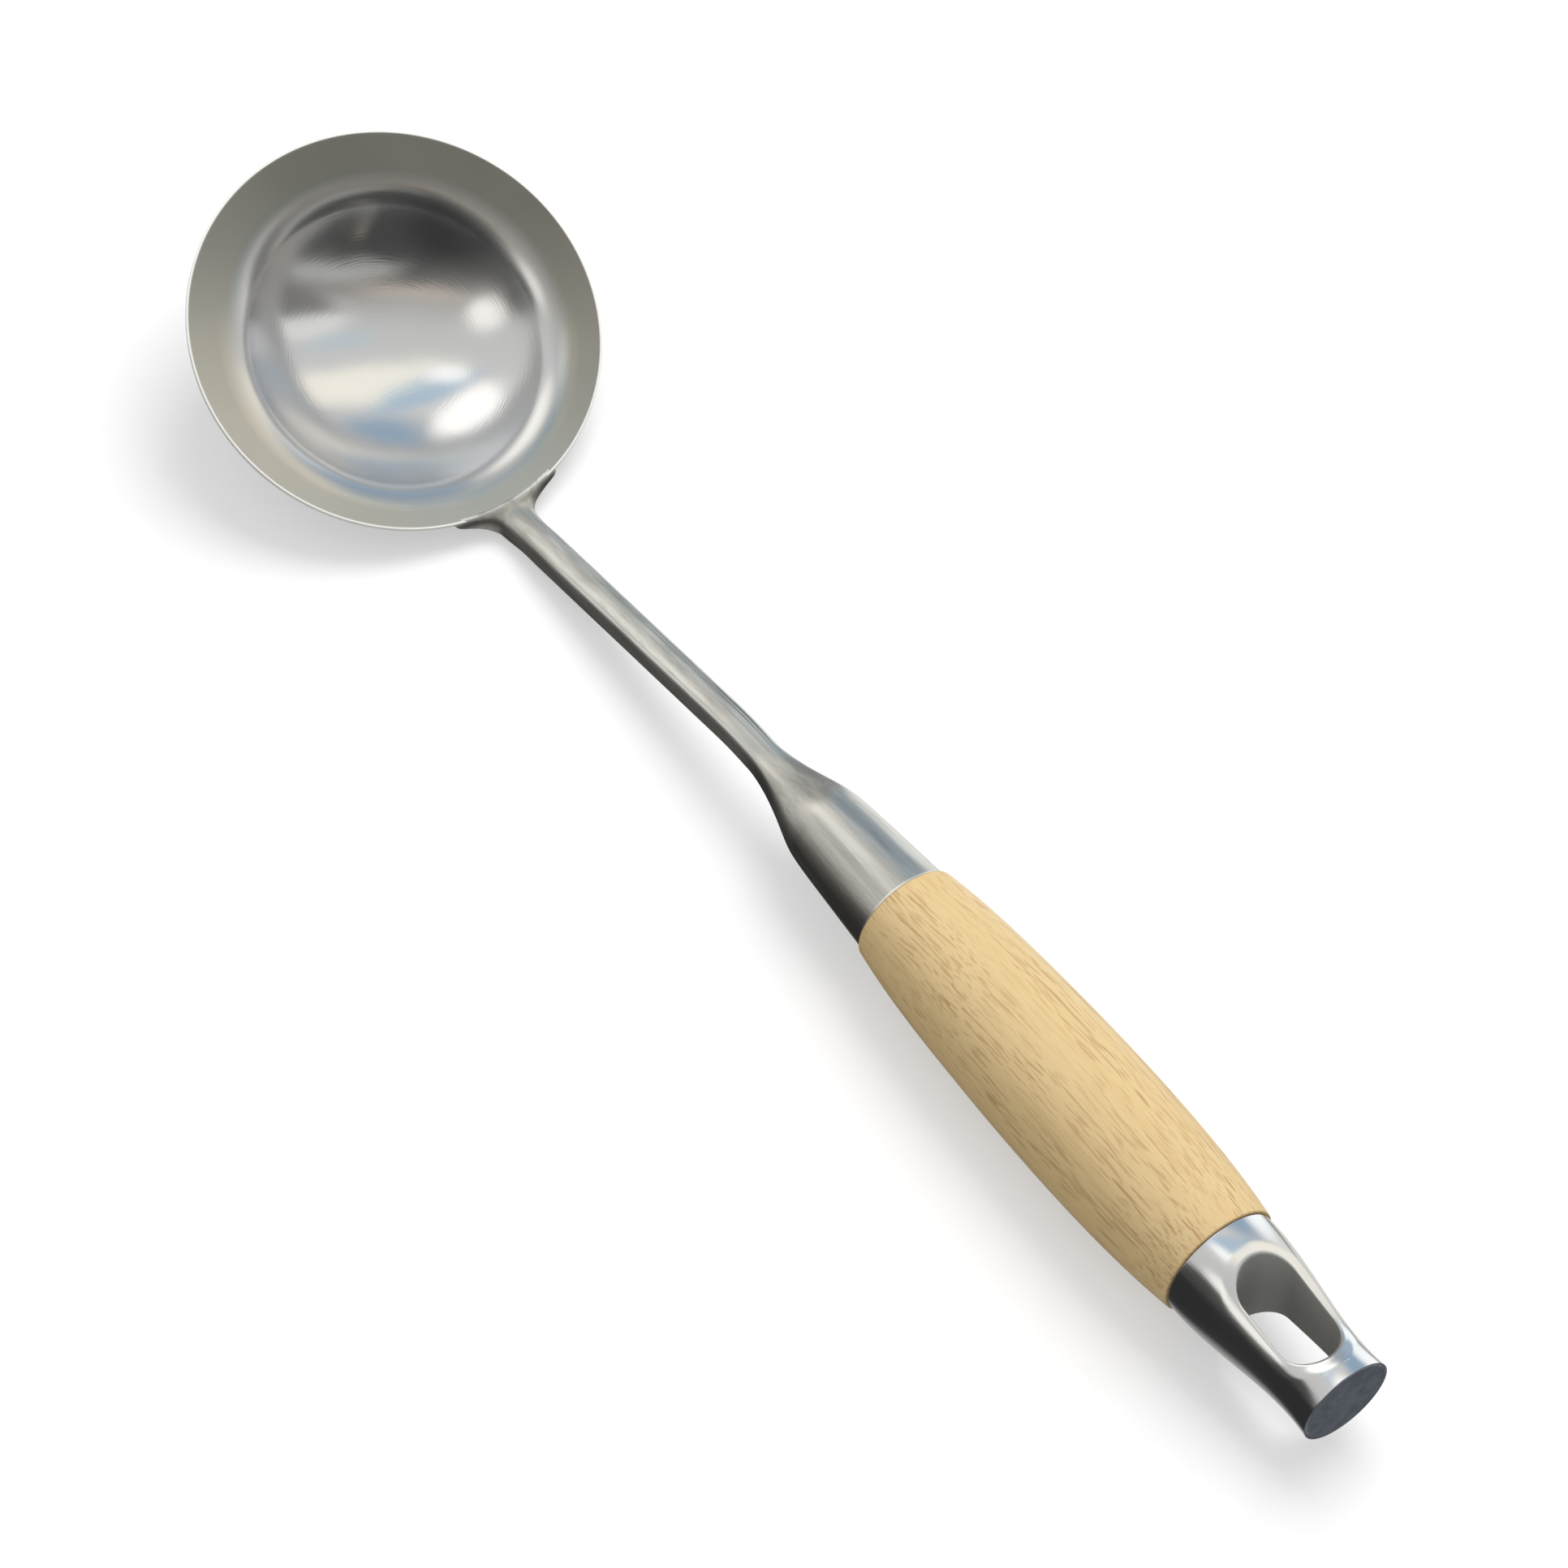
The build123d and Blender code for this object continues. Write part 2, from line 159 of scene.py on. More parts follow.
class WoodFinish(bpy.types.PropertyGroup):
    """Colours of the grip."""

    ground: colour_setting(
        "Wood", "Main colour of the wood", (0.700, 0.510, 0.240, 1)
    )
    pale: colour_setting(
        "Pale wood", "Colour of the paler growth", (0.775, 0.610, 0.345, 1)
    )
    pore: colour_setting(
        "Pores", "Colour of the pores", (0.36, 0.180, 0.060, 1)
    )
    streak: colour_setting(
        "Streaks", "Colour of the darker growth streaks", (0.56, 0.335, 0.125, 1)
    )
    # Painted shade: the wood beside the ferrule's mouth and the cap is darkened with this colour
    # where the gaps fall dark
    seam: colour_setting(
        "Seams", "Colour of the wood's edges beside the steel", (0.14, 0.075, 0.035, 1)
    )


class StudioSettings(bpy.types.PropertyGroup):
    """Light and floor."""

    floor: colour_setting(
        "Floor", "Colour of the floor", (0.58, 0.58, 0.58, 1)
    )
    floor_glow: share_setting(
        "Floor glow", "Even light that the camera sees from the floor", 0.42
    )
    floor_bounce: colour_setting(
        "Floor bounce", "How much light the floor gives back to the ladle", (0.50, 0.49, 0.46, 1)
    )
    key_power: FloatProperty(
        name="Key light", description="Power of the key light in watts",
        default=14, min=0, max=500,
    )
    sky_level: FloatProperty(
        name="Sky level", description="Strength of the even light from all round",
        default=0.62, min=0, max=2,
    )


# Small helpers


def new_object(name, mesh):
    """Links a mesh as an object at the origin."""
    piece = bpy.data.objects.new(name, mesh)
    bpy.context.scene.collection.objects.link(piece)
    return piece


def mesh_from(name, bm):
    """Turns a bmesh into a smooth mesh."""
    mesh = bpy.data.meshes.new(name)
    bm.to_mesh(mesh)
    bm.free()
    mesh.polygons.foreach_set("use_smooth", [True] * len(mesh.polygons))
    return mesh


def merged_copy(name, node):
    """A copy of a CAD node with its triangles merged, shaded smooth but for its sharp edges."""
    bm = bmesh.new()
    bm.from_mesh(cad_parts[node].data)
    bmesh.ops.remove_doubles(bm, verts=bm.verts, dist=MERGE)
    for edge in bm.edges:
        edge.smooth = not edge.is_manifold or edge.calc_face_angle(0) < radians(30)
    return new_object(name, mesh_from(name, bm))


def dress(piece, material, slot, *nodes):
    """Gives a piece its material and its place in the frame."""
    piece.data.materials.clear()
    piece.data.materials.append(material)
    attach(piece, "root")
    if nodes:
        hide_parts(*nodes)


# Shader tools


class Nodes:
    """Writes a node tree in few words."""

    def __init__(self, tree):
        self.tree = tree

    def add(self, kind, values=None, **settings):
        node = self.tree.nodes.new(kind)
        for key, value in settings.items():
            setattr(node, key, value)
        for key, value in (values or {}).items():
            if isinstance(value, bpy.types.NodeSocket):
                self.tree.links.new(value, node.inputs[key])
            else:
                node.inputs[key].default_value = value
        return node

    def math(self, operation, a, b=0.0, c=0.0):
        return self.add("ShaderNodeMath", {0: a, 1: b, 2: c}, operation=operation).outputs[0]

    def vector(self, operation, a, b=(0, 0, 0)):
        node = self.add("ShaderNodeVectorMath", {0: a, 1: b}, operation=operation)
        return node.outputs["Value" if operation in ("DOT_PRODUCT", "LENGTH") else "Vector"]

    def noise(self, vector, scale, detail, roughness):
        return self.add(
            "ShaderNodeTexNoise",
            {"Vector": vector, "Scale": scale, "Detail": detail, "Roughness": roughness},
        ).outputs["Fac"]

    def ramp(self, value, *stops):
        node = self.add("ShaderNodeValToRGB", {"Fac": value})
        elements = node.color_ramp.elements
        elements[0].position, elements[0].color = stops[0]
        elements[1].position, elements[1].color = stops[-1]
        for place, colour in stops[1:-1]:
            elements.new(place).color = colour
        return node.outputs["Color"]

    def mix(self, factor, a, b, blend="MIX"):
        node = self.add("ShaderNodeMix", data_type="RGBA", blend_type=blend)
        for index, value in ((0, factor), (6, a), (7, b)):
            if isinstance(value, bpy.types.NodeSocket):
                self.tree.links.new(value, node.inputs[index])
            else:
                node.inputs[index].default_value = value
        return node.outputs[2]

    def range(self, value, low, high, to_low=0.0, to_high=1.0):
        return self.add(
            "ShaderNodeMapRange",
            {"Value": value, "From Min": low, "From Max": high,
             "To Min": to_low, "To Max": to_high},
            interpolation_type="SMOOTHSTEP",
        ).outputs["Result"]


def grey(level):
    """An opaque grey."""
    return (level, level, level, 1)


def new_material(name, kind="ShaderNodeBsdfPrincipled"):
    """A node material that holds one shader, its node writer and that shader."""
    material = bpy.data.materials.new(name)
    material.use_nodes = True
    material.node_tree.nodes.clear()
    nodes = Nodes(material.node_tree)
    shader = nodes.add(kind)
    nodes.add("ShaderNodeOutputMaterial", {"Surface": shader.outputs[0]})
    return material, nodes, shader


def link(nodes, shader, **sockets):
    """Links or sets sockets of a shader by name, with spaces written as underscores."""
    for key, value in sockets.items():
        socket = shader.inputs[key.replace("_", " ")]
        if isinstance(value, bpy.types.NodeSocket):
            nodes.tree.links.new(value, socket)
        else:
            socket.default_value = value


def worked_steel():
    """Node group for worked steel: brushed lines, patchy polish and faint dents."""
    tree = bpy.data.node_groups.get("worked_steel")
    if tree:
        return tree
    tree = bpy.data.node_groups.new("worked_steel", "ShaderNodeTree")
    for name in ("Place", "Line Place"):
        tree.interface.new_socket(name, in_out="INPUT", socket_type="NodeSocketVector")
    for name in ("Roughness", "Patchiness", "Line Depth", "Dents"):
        tree.interface.new_socket(name, in_out="INPUT", socket_type="NodeSocketFloat")
    for name, kind in (("Lines", "Float"), ("Roughness", "Float"), ("Normal", "Vector")):
        tree.interface.new_socket(name, in_out="OUTPUT", socket_type="NodeSocket" + kind)
    n = Nodes(tree)
    given = n.add("NodeGroupInput").outputs
    lines = n.noise(given["Line Place"], 1, 3, 0.6)
    cloud = n.math("SUBTRACT", n.noise(given["Place"], 70, 3, 0.6), 0.5)
    rough = n.math("MULTIPLY_ADD", cloud, given["Patchiness"], given["Roughness"])
    brushed = n.add(
        "ShaderNodeBump", {"Strength": given["Line Depth"], "Distance": 0.0004, "Height": lines}
    )
    dent_height = n.noise(mapped(n, given["Place"], 38, 60, 60), 1, 1, 0.4)
    dents = n.add(
        "ShaderNodeBump",
        {"Strength": given["Dents"], "Distance": 0.004, "Height": dent_height,
         "Normal": brushed.outputs[0]},
    )
    n.add("NodeGroupOutput", {"Lines": lines, "Roughness": rough, "Normal": dents.outputs[0]})
    return tree


def work(n, shader, place, lines, rough, patches, depth, dents):
    """Gives a shader worked steel's roughness and normal, and returns its brushed lines."""
    worked = n.add("ShaderNodeGroup", {
        "Place": place, "Line Place": lines, "Roughness": rough, "Patchiness": patches,
        "Line Depth": depth, "Dents": dents,
    }, node_tree=worked_steel()).outputs
    link(n, shader, Roughness=worked["Roughness"], Normal=worked["Normal"])
    return worked["Lines"]


def line_near(n, value, middle, half_width):
    """A soft line where a value comes near a middle one."""
    distance = n.math("ABSOLUTE", n.math("SUBTRACT", value, middle))
    return n.range(distance, half_width, half_width / 4)


def object_place(n):
    """The place on a piece, in metres."""
    return n.add("ShaderNodeTexCoord").outputs["Object"]


def mapped(n, place, *scale):
    """A place stretched by a share along each axis."""
    return n.add("ShaderNodeMapping", {"Vector": place, "Scale": scale}).outputs[0]


def bowl_places(n, place, sizes):
    """Offset from the foot of the cup's axis, distances from that axis and from the rim's own,
    and a place that turns with the cup."""
    out, _, up = bowl_axes(sizes)
    offset = n.vector("SUBTRACT", place, tuple(cup_axis_foot(sizes)))
    along = n.vector("DOT_PRODUCT", offset, tuple(out))
    height = n.vector("DOT_PRODUCT", offset, tuple(up))
    across = n.vector("DOT_PRODUCT", offset, (0, 1, 0))

    def distance(x):
        return n.math("SQRT", n.math("ADD", n.math("POWER", x, 2), n.math("POWER", across, 2)))

    radius = distance(along)
    turn = n.math("MULTIPLY", n.math("ARCTAN2", across, along), 0.0016)
    turned = n.add("ShaderNodeCombineXYZ", {"X": radius, "Y": turn, "Z": height}).outputs[0]
    return offset, radius, distance(n.math("ADD", along, CUP_OFFSET)), turned


# Direction from the bowl's painted-shade side to its painted-light side
PAINTED_LIGHT_SIDE = (0.489, -0.674, -0.562)


def toward_painted_light(n, offset):
    """How far a place lies towards the bowl's painted-light side, in metres."""
    return n.vector("DOT_PRODUCT", offset, PAINTED_LIGHT_SIDE)


def flange_tint_with_painted_reflection(n, place, offset):
    """The satin band's colour: patchy, with a painted reflection that darkens it away from the
    bowl's painted-light side.
    """
    finish = bpy.context.scene.steel_finish
    patches = n.math("MULTIPLY", n.noise(place, 25, 2, 0.5), 0.24)
    # Painted reflection: the band is painted lighter towards the bowl's painted-light side and
    # darker away from it
    pale = n.range(toward_painted_light(n, offset), -45 * MM, 45 * MM, 0.0, 0.62)
    return n.mix(n.math("ADD", patches, pale), finish.flange, finish.satin)


# Distances over which the bowl's finish changes: three from the cup's axis, and the last, where
# the edge's painted highlight lies, from the rim's middle
POLISH_EDGE = (42.8 * MM, 35.0 * MM)
WALL_BLEND = (25.0 * MM, 40.0 * MM)
SATIN_START = (42.5 * MM, 44.0 * MM)
EDGE_HIGHLIGHT = (49.25 * MM, 49.70 * MM)


def bowl_steel():
    """Pressed sheet steel: satin on the flange with a painted reflection, polished in the cup, and
    a painted highlight along the rim's edge.
    """
    finish = bpy.context.scene.steel_finish
    material, n, shader = new_material("bowl_sheet_steel")
    place = object_place(n)
    offset, radius, from_rim, turned = bowl_places(n, place, bpy.context.scene.ladle_sizes)
    wall = n.range(radius, *WALL_BLEND, finish.polished_roughness, finish.wall_roughness)
    step = finish.satin_roughness - finish.wall_roughness
    rough = n.math("ADD", wall, n.range(radius, *SATIN_START, 0.0, step))
    # Painted light: the pale polished colour reaches further out towards the bowl's painted-light
    # side
    shift = n.math("MULTIPLY", n.math("MAXIMUM", toward_painted_light(n, offset), 0.0), 0.03)
    inside = n.range(n.math("SUBTRACT", radius, shift), *POLISH_EDGE)
    # Painted highlight: the rim's edge is painted pale and made mostly non-metallic
    edge = n.range(from_rim, *EDGE_HIGHLIGHT)
    work(n, shader, place, mapped(n, turned, 2600, 2600, 2600), rough, 0.10, 0.05, 0.10)
    tint = n.mix(inside, flange_tint_with_painted_reflection(n, place, offset), finish.polished)
    metal = n.math("MULTIPLY_ADD", edge, -0.8, 1.0)
    link(n, shader, Base_Color=n.mix(edge, tint, finish.rim), Metallic=metal)
    return material


# Distances from the cup's axis over which the flange's tint, with its painted reflection, ends and
# the stem's painted reflection lines begin
NECK_TINT = (58 * MM, 51 * MM)
PAINTED_LINES_START = (56 * MM, 68 * MM)
# The x over which the stem's finish gives way to the ferrule's
STEM_END = (-2 * MM, -14 * MM)

# Painted reflection lines along the stem, dark stripes and one bright ridge highlight: place
# across, half width, share and grey
STEM_REFLECTION_LINES = (
    (2.6 * MM, 0.36 * MM, 0.85, 0.10),
    (1.7 * MM, 0.30 * MM, 0.65, 0.16),
    (0.2 * MM, 0.30 * MM, 0.35, 0.26),
    (-3.2 * MM, 0.34 * MM, 0.60, 0.95),
)
# Painted highlight and painted shade along the creases where the neck leaves the flange: distance
# from the cup's axis, and the same for the rest
NECK_CREASE_LIGHT_AND_SHADE = (
    (47.3 * MM, 0.60 * MM, 0.75, 0.90),
    (48.8 * MM, 0.90 * MM, 0.35, 0.12),
)


def handle_steel():
    """Rolled sheet steel brushed along the handle, with the flange's tint and painted reflection
    at the neck, painted reflection lines on the stem, painted highlight and shade at the neck's
    creases, and a painted highlight at the ferrule's mouth.
    """
    finish = bpy.context.scene.steel_finish
    material, n, shader = new_material("handle_sheet_steel")
    place = object_place(n)
    offset, radius, _, _ = bowl_places(n, place, bpy.context.scene.ladle_sizes)
    lines = mapped(n, place, 30, 2200, 2200)
    work(n, shader, place, lines, finish.satin_roughness, 0.12, 0.09, 0.10)
    tint = n.mix(n.range(radius, *NECK_TINT), finish.satin, flange_tint_with_painted_reflection(n, place, offset))
    scores = n.range(n.noise(mapped(n, place, 55, 900, 900), 1, 2, 0.5), 0.60, 0.70)
    tint = n.mix(n.math("MULTIPLY", scores, 0.22), tint, (0.30, 0.29, 0.27, 1))
    bands = n.range(n.noise(mapped(n, place, 5, 380, 380), 1, 2, 0.5), 0.35, 0.65, 0.84, 1.10)
    bands = n.add("ShaderNodeCombineColor", {0: bands, 1: bands, 2: bands}).outputs[0]
    tint = n.mix(1.0, tint, bands, "MULTIPLY")
    x, y, _ = n.add("ShaderNodeSeparateXYZ", {"Vector": place}).outputs
    stem = n.range(x, *STEM_END)
    # Noise that breaks up the painted reflection lines and the creases' painted highlight and
    # shade
    painted_line_breaks = n.range(n.noise(mapped(n, place, 45, 160, 160), 1, 2, 0.5), 0.30, 0.60)
    drawn = n.math("MULTIPLY", painted_line_breaks, n.math("MULTIPLY", stem, n.range(radius, *PAINTED_LINES_START)))
    for across, width, share, shade in STEM_REFLECTION_LINES:
        line = n.math("MULTIPLY", line_near(n, y, across, width), drawn)
        tint = n.mix(n.math("MULTIPLY", line, share), tint, grey(shade))
    # Painted highlight and painted shade along the neck's creases
    for root, width, share, shade in NECK_CREASE_LIGHT_AND_SHADE:
        crease_light_and_shade = n.math("MULTIPLY", line_near(n, radius, root, width), painted_line_breaks)
        tint = n.mix(n.math("MULTIPLY", crease_light_and_shade, share), tint, grey(shade))
    # Painted highlight along the ferrule's mouth
    lip_highlight = n.range(x, MOUTH_X - 0.7 * MM, MOUTH_X - 0.3 * MM)
    metal = n.math("MULTIPLY_ADD", stem, -0.16, 1.0)
    link(n, shader, Base_Color=n.mix(lip_highlight, tint, finish.rim), Metallic=metal)
    return material


def cap_steel():
    """Polished steel with fine scratches outside, and a matt wall inside the hanging slot."""
    finish = bpy.context.scene.steel_finish
    material, n, shader = new_material("polished_cap_steel")
    place = object_place(n)
    x, y, _ = n.add("ShaderNodeSeparateXYZ", {"Vector": place}).outputs
    middle = CAP_LOW.x + (SLOT_START + SLOT_END) / 2
    from_middle = n.math("ABSOLUTE", n.math("SUBTRACT", x, middle))
    beyond = n.math("SUBTRACT", from_middle, (SLOT_END - SLOT_START) / 2 - SLOT_HALF)
    beyond = n.math("POWER", n.math("MAXIMUM", beyond, 0.0), 2)
    from_slot = n.math("SQRT", n.math("ADD", beyond, n.math("POWER", y, 2)))
    wall = n.range(from_slot, SLOT_HALF + 0.40 * MM, SLOT_HALF + 0.15 * MM)
    step = finish.slot_roughness - finish.polished_roughness
    rough = n.math("MULTIPLY_ADD", wall, step, finish.polished_roughness)
    work(n, shader, place, mapped(n, place, 60, 1800, 1800), rough, 0.08, 0.04, 0.03)
    metal = n.math("MULTIPLY_ADD", wall, -0.75, 1.0)
    link(n, shader, Base_Color=n.mix(wall, finish.polished, finish.slot_wall), Metallic=metal)
    return material


def end_steel():
    """The tail's flat end, ground matt."""
    material, n, shader = new_material("ground_end_steel")
    place = object_place(n)
    specks = n.range(n.noise(place, 1500, 2, 0.5), 0.66, 0.74)
    cloud = n.range(n.noise(place, 260, 3, 0.6), 0.35, 0.65)
    tint = n.mix(cloud, (0.52, 0.58, 0.66, 1), (0.72, 0.77, 0.84, 1))
    tint = n.mix(n.math("MULTIPLY", specks, 0.3), tint, (0.85, 0.88, 0.92, 1))
    work(n, shader, place, mapped(n, place, 1800, 1800, 1800), 0.38, 0.10, 0.10, 0.02)
    link(n, shader, Base_Color=tint, Metallic=1.0)
    return material


def core_steel():
    """Turned steel of the parts inside."""
    material, n, shader = new_material("turned_core_steel")
    place = object_place(n)
    lines = work(n, shader, place, mapped(n, place, 2500, 40, 40), 0.35, 0.06, 0.12, 0.0)
    link(n, shader, Base_Color=n.mix(lines, grey(0.42), grey(0.55)), Metallic=1.0)
    return material


def grip_wood():
    """Light wood with short pores and faint streaks along the grip, and painted shade beside the
    steel.
    """
    finish = bpy.context.scene.wood_finish
    material, n, shader = new_material("light_grip_wood")
    place = object_place(n)
    drift = n.add("ShaderNodeTexNoise", {"Vector": place, "Scale": 26, "Detail": 1.0})
    drift = n.vector("SUBTRACT", drift.outputs["Color"], (0.5, 0.5, 0.5))
    drift = n.vector("MULTIPLY", drift, (0, 4.5 * MM, 4.5 * MM))
    place = n.vector("ADD", place, drift)

    def stretched(x, yz, shift=0.0):
        return n.add(
            "ShaderNodeMapping",
            {"Vector": place, "Scale": (x, yz, yz), "Location": (shift, shift, 0)},
        ).outputs[0]

    cluster = n.range(n.noise(stretched(22, 150, 5.3), 1, 1, 0.5), 0.36, 0.60)
    fine = n.range(n.noise(stretched(120, 1750), 1, 1, 0.5), 0.53, 0.65)
    bold = n.range(n.noise(stretched(75, 1350, 3.1), 1, 1, 0.5), 0.60, 0.70)
    streaks = n.range(n.noise(stretched(6, 420, 7.7), 1, 2, 0.6), 0.44, 0.74)
    figure = n.noise(stretched(12, 70, 1.3), 1, 2, 0.5)
    ground = n.mix(n.math("MULTIPLY", streaks, 0.34), finish.ground, finish.streak)
    ground = n.mix(n.math("MULTIPLY", figure, 0.45), ground, finish.pale)
    few = n.math("MULTIPLY_ADD", cluster, 0.26, 0.14)
    many = n.math("MULTIPLY_ADD", cluster, 0.42, 0.20)
    pores = n.math("MAXIMUM", n.math("MULTIPLY", fine, few), n.math("MULTIPLY", bold, many))
    colour = n.mix(pores, ground, finish.pore)
    x = n.add("ShaderNodeSeparateXYZ", {"Vector": place}).outputs["X"]
    # Painted shade on the wood beside the ferrule's mouth and the cap, where the gaps between the
    # parts fall dark
    ends = []
    for seam, reach, share in ((MOUTH_X, 0.9 * MM, 0.6), (CAP_LOW.x, 0.5 * MM, 0.35)):
        distance = n.math("ABSOLUTE", n.math("SUBTRACT", x, seam))
        ends.append(n.math("MULTIPLY", share, n.range(distance, reach, 0.1 * MM)))
    colour = n.mix(n.math("MAXIMUM", *ends), colour, finish.seam)
    bump = n.add(
        "ShaderNodeBump",
        {"Strength": 0.22, "Distance": 0.0003, "Height": n.math("SUBTRACT", 1.0, pores)},
    )
    rough = n.math("MULTIPLY_ADD", pores, 0.15, 0.46)
    link(n, shader, Base_Color=colour, Roughness=rough, Normal=bump.outputs[0])
    link(n, shader, Coat_Weight=0.06, Coat_Roughness=0.35)
    return material


# Bowl geometry


def bowl_axes(sizes):
    """The bowl's own outward, sideways and upward directions."""
    return (
        Vector((cos(sizes.rake), 0, -sin(sizes.rake))),
        Vector((0, 1, 0)),
        Vector((sin(sizes.rake), 0, cos(sizes.rake))),
    )


CUP_OFFSET = 2.0 * MM
FLANGE_DROP = 2.2 * MM
RIM_ROUND = 0.35 * MM
CUP_STEPS, KNUCKLE_STEPS, FLANGE_STEPS, RIM_STEPS = 72, 20, 12, 4


def cup_shape(sizes):
    """Cup radius, its centre's height over the rim plane, knuckle's centre and flange's slope."""
    ring = sizes.rim_radius - sizes.flange_width
    slope = FLANGE_DROP / sizes.flange_width
    stretch = sqrt(1 + slope ** 2)
    radius = (ring ** 2 + sizes.cup_depth ** 2) / (2 * sizes.cup_depth)
    centre = radius - sizes.cup_depth - FLANGE_DROP
    line = -slope * sizes.rim_radius - sizes.knuckle_radius * stretch - centre
    reach = radius + sizes.knuckle_radius
    x = (-slope * line + sqrt(reach ** 2 * stretch ** 2 - line ** 2)) / stretch ** 2
    return radius, centre, Vector((x, 0, centre + slope * x + line)), slope


def rim_centre(sizes):
    """Centre of the rim, worked out from the cup standing on the table."""
    radius, centre, _, slope = cup_shape(sizes)
    height = radius + sizes.sheet - cos(sizes.rake) * centre + sin(sizes.rake) * CUP_OFFSET
    edge = sizes.sheet - slope * CUP_OFFSET - RIM_ROUND
    reach = (sizes.rim_radius - RIM_ROUND) * cos(sizes.rake) + edge * sin(sizes.rake) + RIM_ROUND
    return Vector((SHELL_LOW.x + reach, 0, height))


def cup_axis_foot(sizes):
    """Where the cup's own axis meets the rim plane."""
    return rim_centre(sizes) + bowl_axes(sizes)[0] * CUP_OFFSET


def arc(centre, radius, start, end, steps):
    """Points along an arc in the XZ plane, angles in radians."""
    turns = (start + (end - start) * i / steps for i in range(steps + 1))
    return [centre + Vector((cos(t), 0, sin(t))) * radius for t in turns]


def bowl_section(sizes):
    """The sheet's section from the bottom of the cup to the rim and back underneath."""
    radius, centre, knuckle, slope = cup_shape(sizes)
    cup_centre = Vector((0, 0, centre))
    blend = atan2(knuckle.z - centre, knuckle.x)
    flange = atan2(slope, 1)

    def side(inset):
        points = arc(cup_centre, radius + inset, -pi / 2, blend, CUP_STEPS)
        turn = sizes.knuckle_radius - inset
        bend = arc(knuckle, turn, pi + blend, flange + pi / 2, KNUCKLE_STEPS)
        points += bend[1:]
        start = bend[-1]
        along = Vector((1, 0, slope)).normalized()
        length = (sizes.rim_radius - RIM_ROUND - start.x) / along.x
        steps = range(1, FLANGE_STEPS + 1)
        points += [start + along * length * i / FLANGE_STEPS for i in steps]
        return points

    top, under = side(0), side(sizes.sheet)
    corner_top = top[-1] - Vector((0, 0, RIM_ROUND))
    corner_under = under[-1] + Vector((0, 0, RIM_ROUND))
    rim_top = arc(corner_top, RIM_ROUND, pi / 2, 0, RIM_STEPS)[1:]
    rim_under = arc(corner_under, RIM_ROUND, 0, -pi / 2, RIM_STEPS)[:-1]
    return top + rim_top + rim_under + under[::-1]


def bowl_mesh(sizes):
    """The bowl, turned about the cup's axis with its rim drawn to a circle of its own."""
    bm = bmesh.new()
    verts = [bm.verts.new(p) for p in bowl_section(sizes)]
    edges = [bm.edges.new(pair) for pair in zip(verts, verts[1:])]
    bmesh.ops.spin(
        bm, geom=verts + edges, cent=(0, 0, 0), axis=(0, 0, 1), angle=2 * pi,
        steps=sizes.bowl_segments, use_merge=True,
    )
    bmesh.ops.remove_doubles(bm, verts=bm.verts, dist=MERGE)
    _, _, knuckle, slope = cup_shape(sizes)
    start = knuckle.x
    for vert in bm.verts:
        r = hypot(vert.co.x, vert.co.y)
        if r > start:
            turn = atan2(vert.co.y, vert.co.x)
            reach = sqrt(sizes.rim_radius ** 2 - (CUP_OFFSET * sin(turn)) ** 2)
            reach -= CUP_OFFSET * cos(turn)
            wider = (r - start) * (reach - sizes.rim_radius) / (sizes.rim_radius - start)
            vert.co += Vector((cos(turn), sin(turn), slope)) * wider
    out, across, up = bowl_axes(sizes)
    place = Matrix((out, across, up)).transposed().to_4x4()
    place.translation = cup_axis_foot(sizes)
    bmesh.ops.transform(bm, matrix=place, verts=bm.verts)
    bmesh.ops.recalc_face_normals(bm, faces=bm.faces)
    return bm


# Handle geometry: stations along the neck, stem and ferrule

STEM_WIDTH = 8.0 * MM
STEM_HEIGHT = 7.4 * MM
STEM_SLIT = 3.4 * MM
STEM_SQUARENESS = 3.4
SLOPE_RUN = 64 * MM
BEND_RADIUS = 60 * MM
NECK_RUN = 6.0 * MM
# Where the neck ends, outward and upward from the rim in stem widths
NECK_END = (1.75, 0.90)
# Inside the rim the neck is kept below the flange, and rises out of it over a short run
VALLEY_INSET = 3.6 * MM
VALLEY_RUN = 1.6 * MM
VALLEY_SINK = 0.3 * MM
VALLEY_RISE = 1.2 * MM

# Stations of the neck: place outward and upward in stem widths, half width and half height in
# the stem's, squareness, start angle in degrees and tilt as a share of the rake
NECK_ROWS = (
    (-0.56, 0.01, 5.15, 1.42, 3.0, 50, 0.0),
    (-0.21, 0.02, 4.45, 1.42, 3.0, 44, 0.0),
    (0.00, 0.03, 2.85, 1.38, 3.0, 24, 0.0),
    (0.21, 0.05, 1.72, 1.30, 2.8, 2, 0.2),
    (0.45, 0.13, 1.20, 1.14, 2.6, -14, 0.6),
    (0.80, 0.32, 1.05, 1.06, 2.6, -36, 1.1),
    (1.22, 0.58, 1.00, 1.02, 2.9, -54, 1.35),
)

MOUTH_X = GRIP_LOW.x + 13.85 * MM
MOUTH_RADIUS = 12.4 * MM
THROAT_RADIUS = 10.3 * MM
FERRULE_LENGTH = 28.5 * MM
FLARE_LENGTH = 24.6 * MM
FERRULE_SEAM = 0.7 * MM
# How the flare swells, how far past the throat it aims, and how tightly it turns into the cone
FLARE_POWER = 1.65
FLARE_FULLNESS = 1.06
CORNER_POWER = 14
NECK_STEPS, SLOPE_STEPS, BEND_STEPS, LEVEL_STEPS, FLARE_STEPS = 60, 12, 20, 16, 80
HANDLE_FACES = 128


